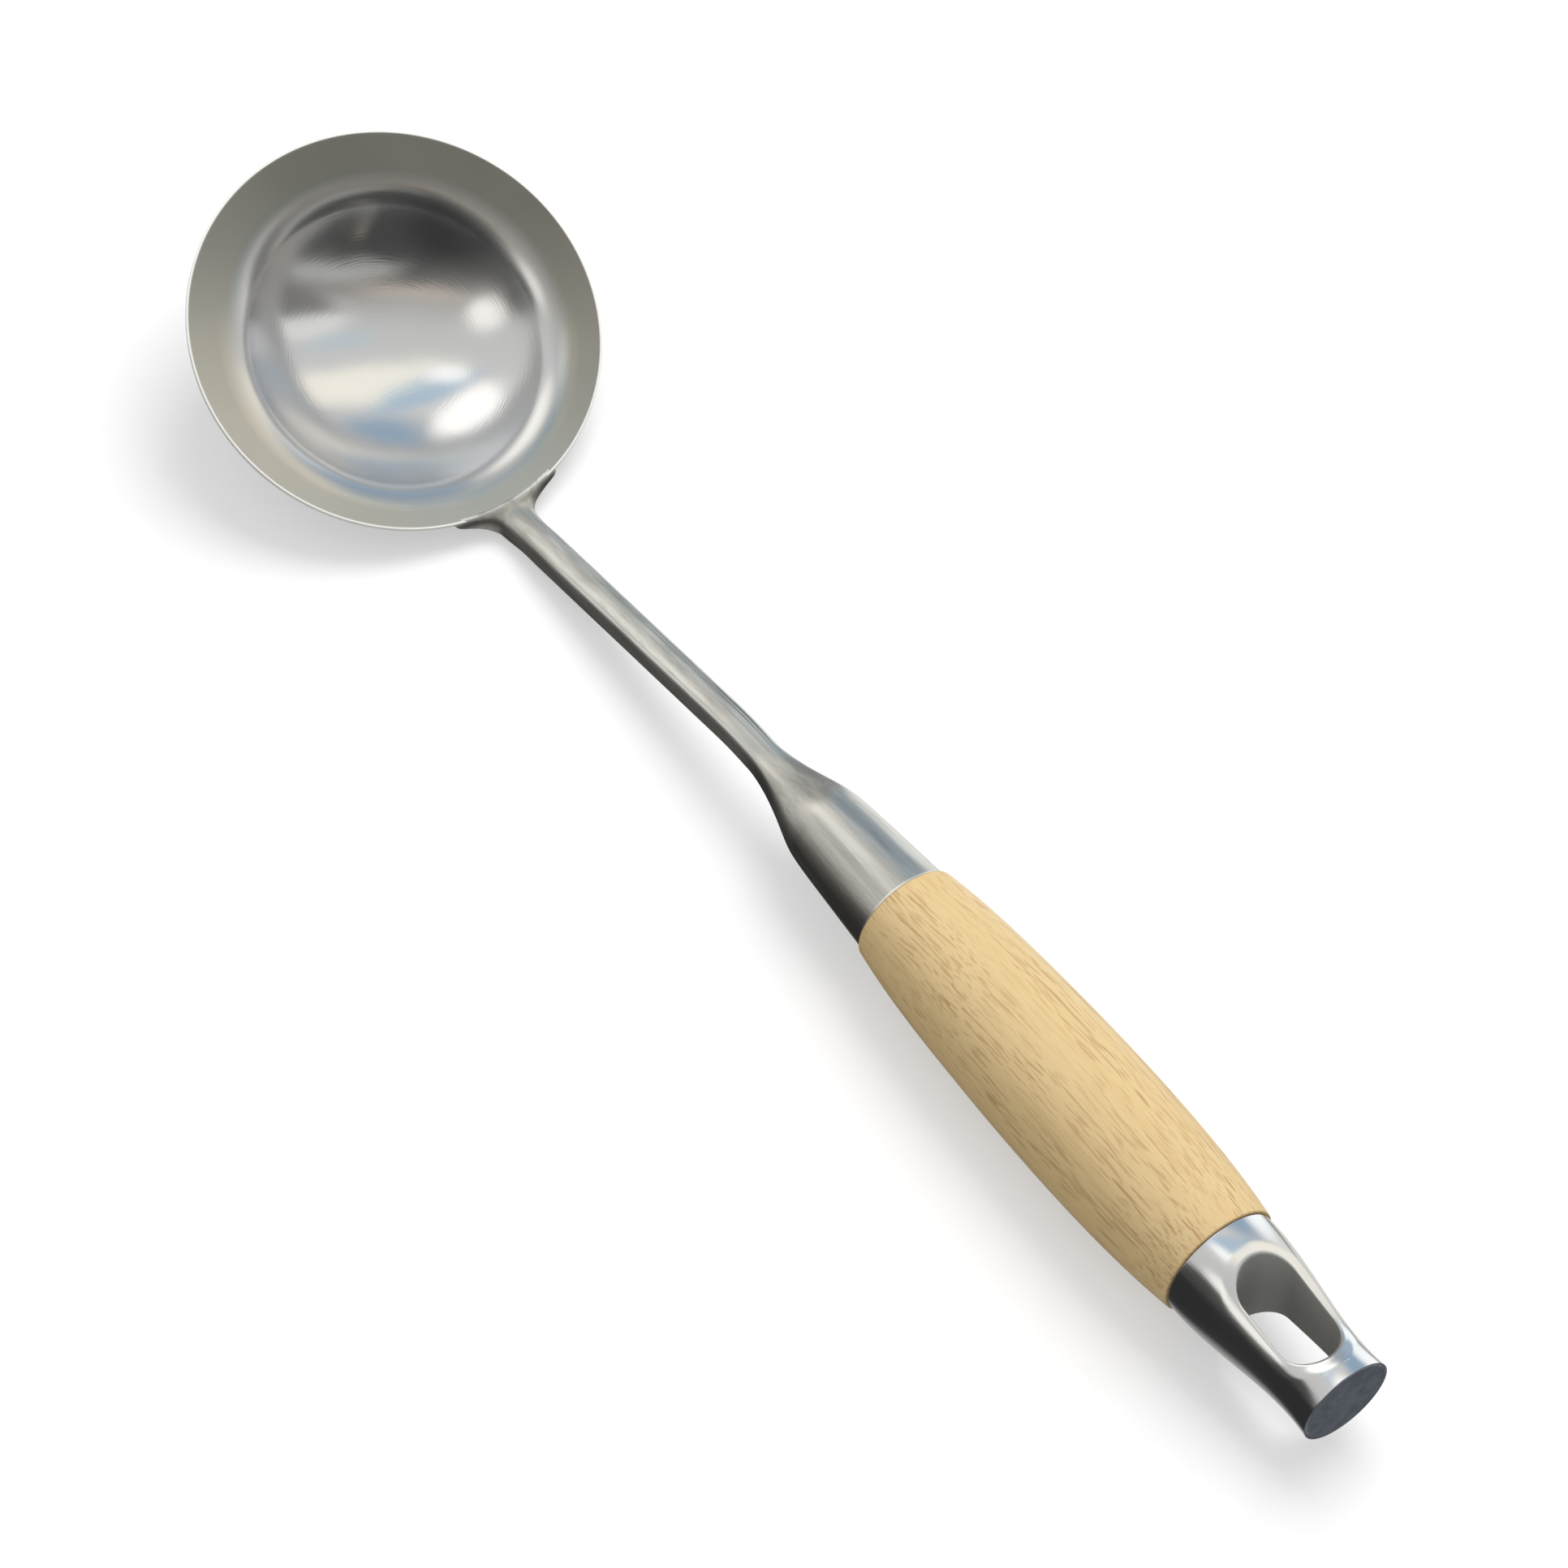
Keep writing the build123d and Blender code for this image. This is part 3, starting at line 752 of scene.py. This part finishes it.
def eased(places, values, place):
    """A smooth curve through values at rising places, with no overshoot, read at one place."""
    slopes = [
        (values[i + 1] - values[i]) / (places[i + 1] - places[i]) for i in range(len(places) - 1)
    ]
    turns = [slopes[0]]
    for before, after in zip(slopes, slopes[1:]):
        turns.append(2 * before * after / (before + after) if before * after > 0 else 0)
    turns.append(slopes[-1])
    i = max(k for k in range(len(slopes)) if place >= places[k] or k == 0)
    span = places[i + 1] - places[i]
    t = (place - places[i]) / span
    rise = t * t * (3 - 2 * t)
    return (
        values[i]
        + (values[i + 1] - values[i]) * rise
        + span * turns[i] * t * (1 - t) ** 2
        - span * turns[i + 1] * t * t * (1 - t)
    )


def slit_angle(half_width, squareness, gap):
    """Angle, in degrees, at which a rolled section stops to leave a gap at its foot."""
    across = gap / 2 / half_width
    return -degrees(atan2((1 - across ** squareness) ** (1 / squareness), across))


def handle_stations(sizes):
    """Middle, tilt, half width, half height, squareness and start angle along the handle."""
    out, _, up = bowl_axes(sizes)
    rim = rim_centre(sizes)
    half_width, half_height = STEM_WIDTH / 2, STEM_HEIGHT / 2
    start = slit_angle(half_width, STEM_SQUARENESS, STEM_SLIT)
    end = rim + out * (sizes.rim_radius + STEM_WIDTH * NECK_END[0])
    end += up * (STEM_WIDTH * NECK_END[1])
    top_radius = BEND_RADIUS + half_height
    rise = AXIS_Z + half_height - end.z
    sloping = NECK_RUN + SLOPE_RUN
    bend = atan2(top_radius, sloping) + asin((rise - top_radius) / hypot(sloping, top_radius))
    stem = (1, 1, STEM_SQUARENESS, start, 1 + bend / sizes.rake)
    rows = list(NECK_ROWS)
    for run in (0, NECK_RUN / STEM_WIDTH):
        along, over = run * cos(sizes.rake + bend), run * sin(sizes.rake + bend)
        rows.append((NECK_END[0] + along, NECK_END[1] + over) + stem)
    places = [0]
    for before, after in zip(rows, rows[1:]):
        places.append(places[-1] + hypot(after[0] - before[0], after[1] - before[1]))
    stations = []
    for i in range(NECK_STEPS + 1):
        row = [eased(places, column, places[-1] * i / NECK_STEPS) for column in zip(*rows)]
        tilt = sizes.rake * (row[6] - 1)
        top = rim + out * (sizes.rim_radius + STEM_WIDTH * row[0]) + up * (STEM_WIDTH * row[1])
        middle = top - Vector((-sin(tilt), 0, cos(tilt))) * half_height * row[3]
        width, height = half_width * row[2], half_height * row[3]
        stations.append((middle, tilt, width, height, row[4], row[5]))
    slope_start = stations[-1][0]
    for i in range(1, SLOPE_STEPS + 1):
        middle = slope_start + Vector((cos(bend), 0, sin(bend))) * SLOPE_RUN * i / SLOPE_STEPS
        stations.append((middle, bend, half_width, half_height, STEM_SQUARENESS, start))
    bend_start = stations[-1][0]
    hub = Vector((bend_start.x + BEND_RADIUS * sin(bend), 0, AXIS_Z - BEND_RADIUS))
    for i in range(1, BEND_STEPS + 1):
        tilt = bend * (1 - i / BEND_STEPS)
        middle = hub + Vector((-sin(tilt), 0, cos(tilt))) * BEND_RADIUS
        stations.append((middle, tilt, half_width, half_height, STEM_SQUARENESS, start))
    throat_x = MOUTH_X - FERRULE_LENGTH
    flare_x = throat_x - FLARE_LENGTH
    for i in range(1, LEVEL_STEPS + 1):
        middle = Vector((hub.x + (flare_x - hub.x) * i / LEVEL_STEPS, 0, AXIS_Z))
        stations.append((middle, 0, half_width, half_height, STEM_SQUARENESS, start))
    for i in range(1, FLARE_STEPS + 1):
        x = flare_x + (MOUTH_X - flare_x) * i / FLARE_STEPS
        cone = THROAT_RADIUS + (MOUTH_RADIUS - THROAT_RADIUS) * (x - throat_x) / FERRULE_LENGTH
        swell = ((x - flare_x) / FLARE_LENGTH) ** FLARE_POWER
        flare = half_width + (THROAT_RADIUS * FLARE_FULLNESS - half_width) * swell
        width = (cone ** -CORNER_POWER + flare ** -CORNER_POWER) ** (-1 / CORNER_POWER)
        growth = min((width - half_width) / (THROAT_RADIUS - half_width), 1)
        height = width + (half_height - half_width) * (1 - growth)
        squareness = STEM_SQUARENESS + (2.0 - STEM_SQUARENESS) * growth
        gap = STEM_SLIT + (FERRULE_SEAM - STEM_SLIT) * growth
        foot = slit_angle(width, squareness, gap)
        stations.append((Vector((x, 0, AXIS_Z)), 0, width, height, squareness, foot))
    return stations


def handle_mesh(sizes):
    """Neck, stem and ferrule as one rolled sheet."""
    stations = handle_stations(sizes)
    last = len(stations) - 1
    bm = bmesh.new()
    bmesh.ops.create_grid(bm, x_segments=HANDLE_FACES, y_segments=last, size=1)
    foot, (out, _, up) = cup_axis_foot(sizes), bowl_axes(sizes)
    slope = FLANGE_DROP / sizes.flange_width
    valley = sizes.rim_radius - VALLEY_INSET
    for vert in bm.verts:
        station = stations[round((vert.co.y + 1) / 2 * last)]
        middle, tilt, width, height, squareness, start = station
        turn = radians(start + (180 - 2 * start) * (1 - vert.co.x) / 2)
        reach = (abs(cos(turn)) ** squareness + abs(sin(turn)) ** squareness) ** (-1 / squareness)
        place = (
            middle
            + Vector((0, 1, 0)) * (width * reach * cos(turn))
            + Vector((-sin(tilt), 0, cos(tilt))) * (height * reach * sin(turn))
        )
        offset = place - foot
        radius = hypot(offset.dot(out), offset.y)
        flange = -slope * (sizes.rim_radius - radius)
        lift = offset.dot(up) - flange
        ease = min(max((radius - valley) / VALLEY_RUN, 0), 1)
        ceiling = -VALLEY_SINK + VALLEY_RISE * ease * ease * (3 - 2 * ease)
        if ease < 1 and lift > ceiling:
            place -= up * (lift - ceiling)
        vert.co = place
    bmesh.ops.recalc_face_normals(bm, faces=bm.faces)
    bm.faces.ensure_lookup_table()
    top = max(bm.faces, key=lambda face: face.calc_center_median().z)
    if top.normal.z < 0:
        bmesh.ops.reverse_faces(bm, faces=bm.faces)
    bmesh.ops.solidify(bm, geom=bm.faces[:], thickness=sizes.sheet)
    return bm


# Tail cap geometry

CAP_LENGTH = CAP_HIGH.x - CAP_LOW.x
CAP_WALL = 1.2 * MM
CAP_RADII = ((0, 14.2 * MM), (0.52, 12.22 * MM), (0.86, 11.0 * MM), (1, 11.4 * MM))
SLOT_START = 8.8 * MM
SLOT_END = CAP_LENGTH - 6.9 * MM
SLOT_HALF = 7.3 * MM
LIP_ROUND = 1.1 * MM
DISH_REACH = 3.6 * MM
DISH_DEPTH = 0.7 * MM
MOUTH_RECESS = 4.8 * MM
END_RECESS = 1.5 * MM
END_RADIUS = 10.9 * MM
# Shares of the skin's rows at which the lip's round starts and ends
LIP_FROM, LIP_TO = 0.35, 0.65
# The dish's depth at the slot's end nearer the grip, as a share of its full depth
DISH_START = 0.4
# Steps along the slot's half outline, across its wall and lip, and from there to the cap's side
SLOT_STEPS, LIP_STEPS, SKIN_STEPS = 96, 40, 24
# Steps along the cap before, beside and after the slot
LANDS = (20, SLOT_STEPS, 16)
CAP_MERGE = 0.002 * MM


def cap_radius(x):
    """Radius of the cap at a distance from its mouth: a cubic through its named radii."""
    t = x / CAP_LENGTH
    total = 0
    for place, radius in CAP_RADII:
        weight = 1
        for other, _ in CAP_RADII:
            if other != place:
                weight *= (t - other) / (place - other)
        total += radius * weight
    return total


def slot_outline(t):
    """A place on half of the slot's outline, and its outward normal, for t from 0 to 1."""
    straight = SLOT_END - SLOT_START - 2 * SLOT_HALF
    quarter = pi / 2 * SLOT_HALF
    way = t * (2 * quarter + straight)
    if way < quarter:
        turn = way / SLOT_HALF
        normal = Vector((-cos(turn), sin(turn), 0))
        return Vector((SLOT_START + SLOT_HALF, 0, 0)) + normal * SLOT_HALF, normal
    if way < quarter + straight:
        return Vector((SLOT_START + SLOT_HALF + way - quarter, SLOT_HALF, 0)), Vector((0, 1, 0))
    turn = (way - quarter - straight) / SLOT_HALF
    normal = Vector((sin(turn), cos(turn), 0))
    return Vector((SLOT_END - SLOT_HALF, 0, 0)) + normal * SLOT_HALF, normal


def cap_point(x, y, sink):
    """A point on the cap's upper half, sunk by a depth."""
    radius = cap_radius(x)
    turn = asin(max(min(y / radius, 1), -1))
    return Vector((x, radius * sin(turn), radius * cos(turn) - sink))


def dish(distance):
    """How far the cap's skin is drawn in at a distance from the slot."""
    share = min(max(1 - distance / DISH_REACH, 0), 1)
    return DISH_DEPTH * share * share * (3 - 2 * share)


def near_slot(t, w):
    """The skin from half way down the slot's wall, over the lip, out to the dish's edge."""
    place, normal = slot_outline(t)
    rise = min(t * 2, 1)
    depth = DISH_START + (1 - DISH_START) * rise * rise * (3 - 2 * rise)
    edge = cap_point(place.x, place.y, depth * dish(0))
    rest = place + normal * LIP_ROUND
    outer = cap_point(rest.x, rest.y, depth * dish(LIP_ROUND))
    low = Vector((edge.x, edge.y, edge.z - LIP_ROUND))
    if w < LIP_FROM:
        return Vector((place.x, place.y, low.z * w / LIP_FROM))
    if w < LIP_TO:
        s = (w - LIP_FROM) / (LIP_TO - LIP_FROM)
        return low * (1 - s) ** 2 + edge * 2 * s * (1 - s) + outer * s ** 2
    distance = LIP_ROUND + (DISH_REACH - LIP_ROUND) * (w - LIP_TO) / (1 - LIP_TO)
    spot = place + normal * distance
    return cap_point(spot.x, spot.y, depth * dish(distance))


def cap_mesh():
    """The cap with its slot: a quarter of the skin, mirrored twice, and its two ends."""
    bm = bmesh.new()
    bmesh.ops.create_grid(bm, x_segments=SLOT_STEPS, y_segments=LIP_STEPS, size=1)
    for vert in bm.verts:
        vert.co = near_slot((vert.co.x + 1) / 2, (vert.co.y + 1) / 2)
    before, beside, after = LANDS
    total = sum(LANDS)
    patch = bmesh.ops.create_grid(bm, x_segments=total, y_segments=SKIN_STEPS, size=1)["verts"]
    for vert in patch:
        i, u = round((vert.co.x + 1) / 2 * total), (vert.co.y + 1) / 2
        if i < before:
            x, y = (SLOT_START - DISH_REACH) * i / before, 0
        elif i <= before + beside:
            place, normal = slot_outline((i - before) / beside)
            x, y = (place + normal * DISH_REACH).xy
        else:
            share = (i - before - beside) / after
            x, y = SLOT_END + DISH_REACH + (CAP_LENGTH - SLOT_END - DISH_REACH) * share, 0
        side_x = (x + CAP_LENGTH * i / total) / 2
        here = x + (side_x - x) * u
        start = asin(min(y / cap_radius(x), 1))
        turn = start + (pi / 2 - start) * u
        vert.co = Vector((here, cap_radius(here) * sin(turn), cap_radius(here) * cos(turn)))
    bmesh.ops.remove_doubles(bm, verts=bm.verts, dist=CAP_MERGE)
    for axis in ("Y", "Z"):
        whole = bm.verts[:] + bm.edges[:] + bm.faces[:]
        bmesh.ops.mirror(bm, geom=whole, axis=axis, merge_dist=CAP_MERGE)
        bmesh.ops.remove_doubles(bm, verts=bm.verts, dist=CAP_MERGE)
    for x, radius, recess in (
        (0, CAP_RADII[0][1] - CAP_WALL, MOUTH_RECESS),
        (CAP_LENGTH, END_RADIUS, -END_RECESS),
    ):
        edges = [
            e for e in bm.edges
            if e.is_boundary and all(abs(v.co.x - x) < 0.01 * MM for v in e.verts)
        ]
        for move in (0, recess):
            made = bmesh.ops.extrude_edge_only(bm, edges=edges)["geom"]
            verts = [g for g in made if isinstance(g, bmesh.types.BMVert)]
            edges = [g for g in made if isinstance(g, bmesh.types.BMEdge)]
            for vert in verts:
                flat = Vector((0, vert.co.y, vert.co.z)).normalized() * radius
                vert.co = Vector((vert.co.x + move, flat.y, flat.z))
        bmesh.ops.edgeloop_fill(bm, edges=edges)
    bmesh.ops.translate(bm, vec=(CAP_LOW.x, 0, AXIS_Z), verts=bm.verts)
    bmesh.ops.recalc_face_normals(bm, faces=bm.faces)
    return bm


# Operators


def soften_edges(piece, width):
    """Rounds a piece's sharp edges."""
    bevel = piece.modifiers.new("soft_edges", "BEVEL")
    bevel.width = width
    bevel.segments = 3
    bevel.limit_method = "ANGLE"
    bevel.angle_limit = radians(55)
    bevel.use_clamp_overlap = True


class LADLE_OT_shell(bpy.types.Operator):
    """Bowl, neck, stem and ferrule of one steel sheet"""

    bl_idname = "ladle.shell"
    bl_label = "Steel shell"

    def execute(self, context):
        sizes = context.scene.ladle_sizes
        bowl = new_object("steel_bowl", mesh_from("steel_bowl", bowl_mesh(sizes)))
        dress(bowl, bowl_steel(), "shell_steel", "ladle_shell")
        handle = new_object("steel_handle", mesh_from("steel_handle", handle_mesh(sizes)))
        soften_edges(handle, 0.22 * MM)
        dress(handle, handle_steel(), "shell_steel", "ladle_shell")
        return {"FINISHED"}


class LADLE_OT_grip(bpy.types.Operator):
    """Turned wooden grip"""

    bl_idname = "ladle.grip"
    bl_label = "Wooden grip"

    def execute(self, context):
        piece = merged_copy("turned_grip", "wooden_grip")
        dress(piece, grip_wood(), "grip_wood", "wooden_grip")
        return {"FINISHED"}


class LADLE_OT_cap(bpy.types.Operator):
    """Polished tail cap, the wall of its slot and its end"""

    bl_idname = "ladle.cap"
    bl_label = "Tail cap"

    def execute(self, context):
        cap = new_object("polished_cap", mesh_from("polished_cap", cap_mesh()))
        soften_edges(cap, 0.18 * MM)
        dress(cap, cap_steel(), "cap_steel", "tail_cap", "slot_liner")
        dress(merged_copy("cap_end", "end_disc"), end_steel(), "end_disc_steel", "end_disc")
        return {"FINISHED"}


class LADLE_OT_core(bpy.types.Operator):
    """Rod, plates and boss inside the grip"""

    bl_idname = "ladle.core"
    bl_label = "Core"

    def execute(self, context):
        steel = core_steel()
        for node in ("core_rod", "cap_boss", "throat_plate", "bridge_disc"):
            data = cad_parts[node].data
            data.materials.clear()
            data.materials.append(steel)
        return {"FINISHED"}


# The floor's reach, the key light, and the camera as it was fitted to the photograph
FLOOR_REACH = 6
KEY_PLACE = (-0.25, 0.62, 1.27)
KEY_SIZE = 0.9
SENSOR_WIDTH = 36
FRAME_PIXELS = 1932
FOCAL_PIXELS = 8000
CAMERA_ROWS = (
    (0.600792963, -0.664631587, 0.444198907, 0.653924175),
    (0.798945623, 0.480389302, -0.361817648, -0.532463786),
    (0.027087035, 0.572268269, 0.819619010, 1.221988266),
    (0, 0, 0, 1),
)


class LADLE_OT_stage(bpy.types.Operator):
    """Floor, light and camera"""

    bl_idname = "ladle.stage"
    bl_label = "Studio"

    def execute(self, context):
        studio = context.scene.studio_settings
        bm = bmesh.new()
        bmesh.ops.create_grid(bm, x_segments=1, y_segments=1, size=FLOOR_REACH)
        floor = new_object("studio_floor", mesh_from("studio_floor", bm))
        material, n, shader = new_material("pale_floor")
        seen = n.add("ShaderNodeLightPath").outputs["Is Camera Ray"]
        colour = n.mix(seen, studio.floor_bounce, studio.floor)
        glow = n.math("MULTIPLY", seen, studio.floor_glow)
        link(n, shader, Base_Color=colour, Roughness=0.9, Specular_IOR_Level=0.0)
        link(n, shader, Emission_Color=grey(1.0), Emission_Strength=glow)
        floor.data.materials.append(material)
        floor.visible_glossy = False

        surround = build_surround()

        world = bpy.data.worlds.new("studio_world")
        context.scene.world = world
        world.use_nodes = True
        world.node_tree.nodes.clear()
        n = Nodes(world.node_tree)
        path = n.add("ShaderNodeLightPath").outputs
        seen = n.math("MAXIMUM", path["Is Camera Ray"], path["Is Glossy Ray"])
        seen = n.math("MAXIMUM", seen, path["Is Transmission Ray"])
        level = n.math("MULTIPLY_ADD", seen, 1.0 - studio.sky_level, studio.sky_level)
        background = n.add("ShaderNodeBackground", {"Color": grey(1.0), "Strength": level})
        n.add("ShaderNodeOutputWorld", {"Surface": background.outputs[0]})

        light = bpy.data.lights.new("key_light", "AREA")
        light.energy = studio.key_power
        light.size = KEY_SIZE
        lamp = bpy.data.objects.new("key_light", light)
        lamp.location = KEY_PLACE
        lamp.rotation_euler = (-Vector(KEY_PLACE)).to_track_quat("-Z", "Y").to_euler()
        context.scene.collection.objects.link(lamp)
        lamp.visible_glossy = False

        camera_data = bpy.data.cameras.new("photo_camera")
        camera_data.sensor_width = SENSOR_WIDTH
        camera_data.lens = FOCAL_PIXELS / FRAME_PIXELS * SENSOR_WIDTH
        camera_data.clip_end = 20
        camera = bpy.data.objects.new("photo_camera", camera_data)
        camera.matrix_world = Matrix(CAMERA_ROWS)
        context.scene.collection.objects.link(camera)
        context.scene.camera = camera
        context.scene.view_settings.view_transform = "Standard"
        return {"FINISHED"}


# The room that the metal mirrors. A place is given by the slope of a surface that shows it:
# across, up, half width, half height, turn in degrees, colour and share
ROOM_SHAPES = (
    (0.60, -0.68, 0.40, 0.22, 0, (0.13, 0.14, 0.155, 1), 0.95),
    (0.08, -0.43, 0.75, 0.22, -6, (0.070, 0.070, 0.068, 1), 0.95),
    (-0.20, -0.40, 0.28, 0.13, -8, (0.040, 0.040, 0.040, 1), 0.90),
    (0.75, 0.02, 0.26, 0.12, 0, (0.16, 0.155, 0.14, 1), 0.80),
    (0.46, -0.185, 0.34, 0.050, 6, (0.58, 0.57, 0.53, 1), 0.90),
    (0.06, -0.09, 0.30, 0.030, -4, (0.73, 0.63, 0.53, 1), 0.85),
    (0.62, 0.13, 0.24, 0.060, 14, (1.00, 0.98, 0.94, 1), 0.90),
    (0.42, 0.19, 0.18, 0.035, 12, (0.62, 0.74, 0.80, 1), 0.80),
    (0.33, 0.42, 0.50, 0.10, 12, (1.25, 1.18, 1.02, 1), 0.95),
    (0.08, 0.42, 0.16, 0.035, 24, (0.66, 0.80, 0.86, 1), 0.80),
    (-0.02, 0.45, 0.30, 0.045, 20, (0.50, 0.66, 0.80, 1), 0.90),
    (-0.13, 0.35, 0.11, 0.045, 0, (1.45, 1.44, 1.38, 1), 0.85),
    (-0.25, 0.54, 0.20, 0.10, 35, (1.55, 1.50, 1.40, 1), 1.00),
    (0.235, 0.715, 0.24, 0.125, 6, (0.36, 0.50, 0.64, 1), 0.95),
    (0.19, 0.80, 0.13, 0.065, 0, (0.66, 0.72, 0.76, 1), 0.35),
    (0.59, 0.75, 0.22, 0.14, 0, (1.35, 1.37, 1.35, 1), 0.95),
    (0.80, 0.62, 0.05, 0.12, 0, (0.10, 0.10, 0.09, 1), 0.90),
    (-0.42, 0.80, 0.30, 0.12, 20, (0.36, 0.34, 0.30, 1), 0.90),
    (-0.84, -0.30, 0.42, 0.36, 0, (0.035, 0.035, 0.034, 1), 1.00),
    (-0.53, -0.05, 0.11, 0.09, 0, (0.07, 0.07, 0.065, 1), 0.95),
    (-0.33, 0.03, 0.10, 0.09, 0, (1.30, 1.26, 1.16, 1), 1.00),
)
# Right, up and back as the photograph shows them
VIEW_RIGHT = (0.601, 0.799, 0.027)
VIEW_UP = (-0.665, 0.480, 0.572)
VIEW_BACK = (0.444, -0.362, 0.820)
ROOM_RADIUS = 20.0


def build_surround():
    """The room that only reflections see: windows, sky and dark walls."""
    bm = bmesh.new()
    bmesh.ops.create_icosphere(bm, subdivisions=5, radius=ROOM_RADIUS)
    bmesh.ops.reverse_faces(bm, faces=bm.faces)
    room = new_object("studio_surround", mesh_from("studio_surround", bm))
    material, n, shader = new_material("studio_room", "ShaderNodeEmission")
    way = n.vector("NORMALIZE", n.add("ShaderNodeTexCoord").outputs["Object"])
    facing = n.vector("NORMALIZE", n.vector("ADD", way, VIEW_BACK))
    across = n.vector("DOT_PRODUCT", facing, VIEW_RIGHT)
    up = n.vector("DOT_PRODUCT", facing, VIEW_UP)
    colour = n.ramp(
        n.math("MULTIPLY_ADD", up, 0.5, 0.5),
        (0.02, (0.50, 0.49, 0.47, 1)),
        (0.11, (0.34, 0.335, 0.32, 1)),
        (0.19, (0.05, 0.05, 0.05, 1)),
        (0.36, (0.13, 0.13, 0.12, 1)),
        (0.43, (0.22, 0.21, 0.19, 1)),
        (0.48, (0.55, 0.53, 0.49, 1)),
        (0.56, (0.72, 0.71, 0.68, 1)),
        (0.76, (0.84, 0.83, 0.80, 1)),
        (0.86, (0.50, 0.51, 0.50, 1)),
        (0.94, (0.34, 0.34, 0.32, 1)),
    )
    for right, high, wide, tall, turn, shade, share in ROOM_SHAPES:
        x = n.math("SUBTRACT", across, right)
        y = n.math("SUBTRACT", up, high)
        c, s = cos(radians(turn)), sin(radians(turn))
        along = n.math("MULTIPLY_ADD", y, s / wide, n.math("MULTIPLY", x, c / wide))
        over = n.math("MULTIPLY_ADD", y, c / tall, n.math("MULTIPLY", x, -s / tall))
        square = n.math("ADD", n.math("POWER", along, 2), n.math("POWER", over, 2))
        form = n.range(n.math("SQRT", square), 1.4, 0.6)
        colour = n.mix(n.math("MULTIPLY", form, share), colour, shade)
    link(n, shader, Color=colour, Strength=1.0)
    room.data.materials.append(material)
    room.visible_camera = False
    room.visible_diffuse = False
    room.visible_transmission = False
    room.visible_shadow = False
    room.visible_volume_scatter = False
    return room


class LADLE_PT_panel(bpy.types.Panel):
    """Lists the ladle's pieces"""

    bl_idname = "LADLE_PT_panel"
    bl_label = "Wok Ladle"
    bl_space_type = "VIEW_3D"
    bl_region_type = "UI"
    bl_category = "Wok Ladle"

    def draw(self, context):
        for operator in OPERATORS:
            self.layout.operator(operator.bl_idname)


OPERATORS = (LADLE_OT_shell, LADLE_OT_grip, LADLE_OT_cap, LADLE_OT_core, LADLE_OT_stage)
GROUPS = (
    ("ladle_sizes", LadleSizes),
    ("steel_finish", SteelFinish),
    ("wood_finish", WoodFinish),
    ("studio_settings", StudioSettings),
)


def register():
    for name, group in GROUPS:
        bpy.utils.register_class(group)
        setattr(bpy.types.Scene, name, PointerProperty(type=group))
    for cls in OPERATORS + (LADLE_PT_panel,):
        bpy.utils.register_class(cls)


def unregister():
    for cls in (LADLE_PT_panel,) + OPERATORS:
        bpy.utils.unregister_class(cls)
    for name, group in GROUPS:
        delattr(bpy.types.Scene, name)
        bpy.utils.unregister_class(group)


def main():
    register()
    bpy.ops.ladle.shell()
    bpy.ops.ladle.grip()
    bpy.ops.ladle.cap()
    bpy.ops.ladle.core()
    bpy.ops.ladle.stage()


if __name__ == "__main__":
    main()
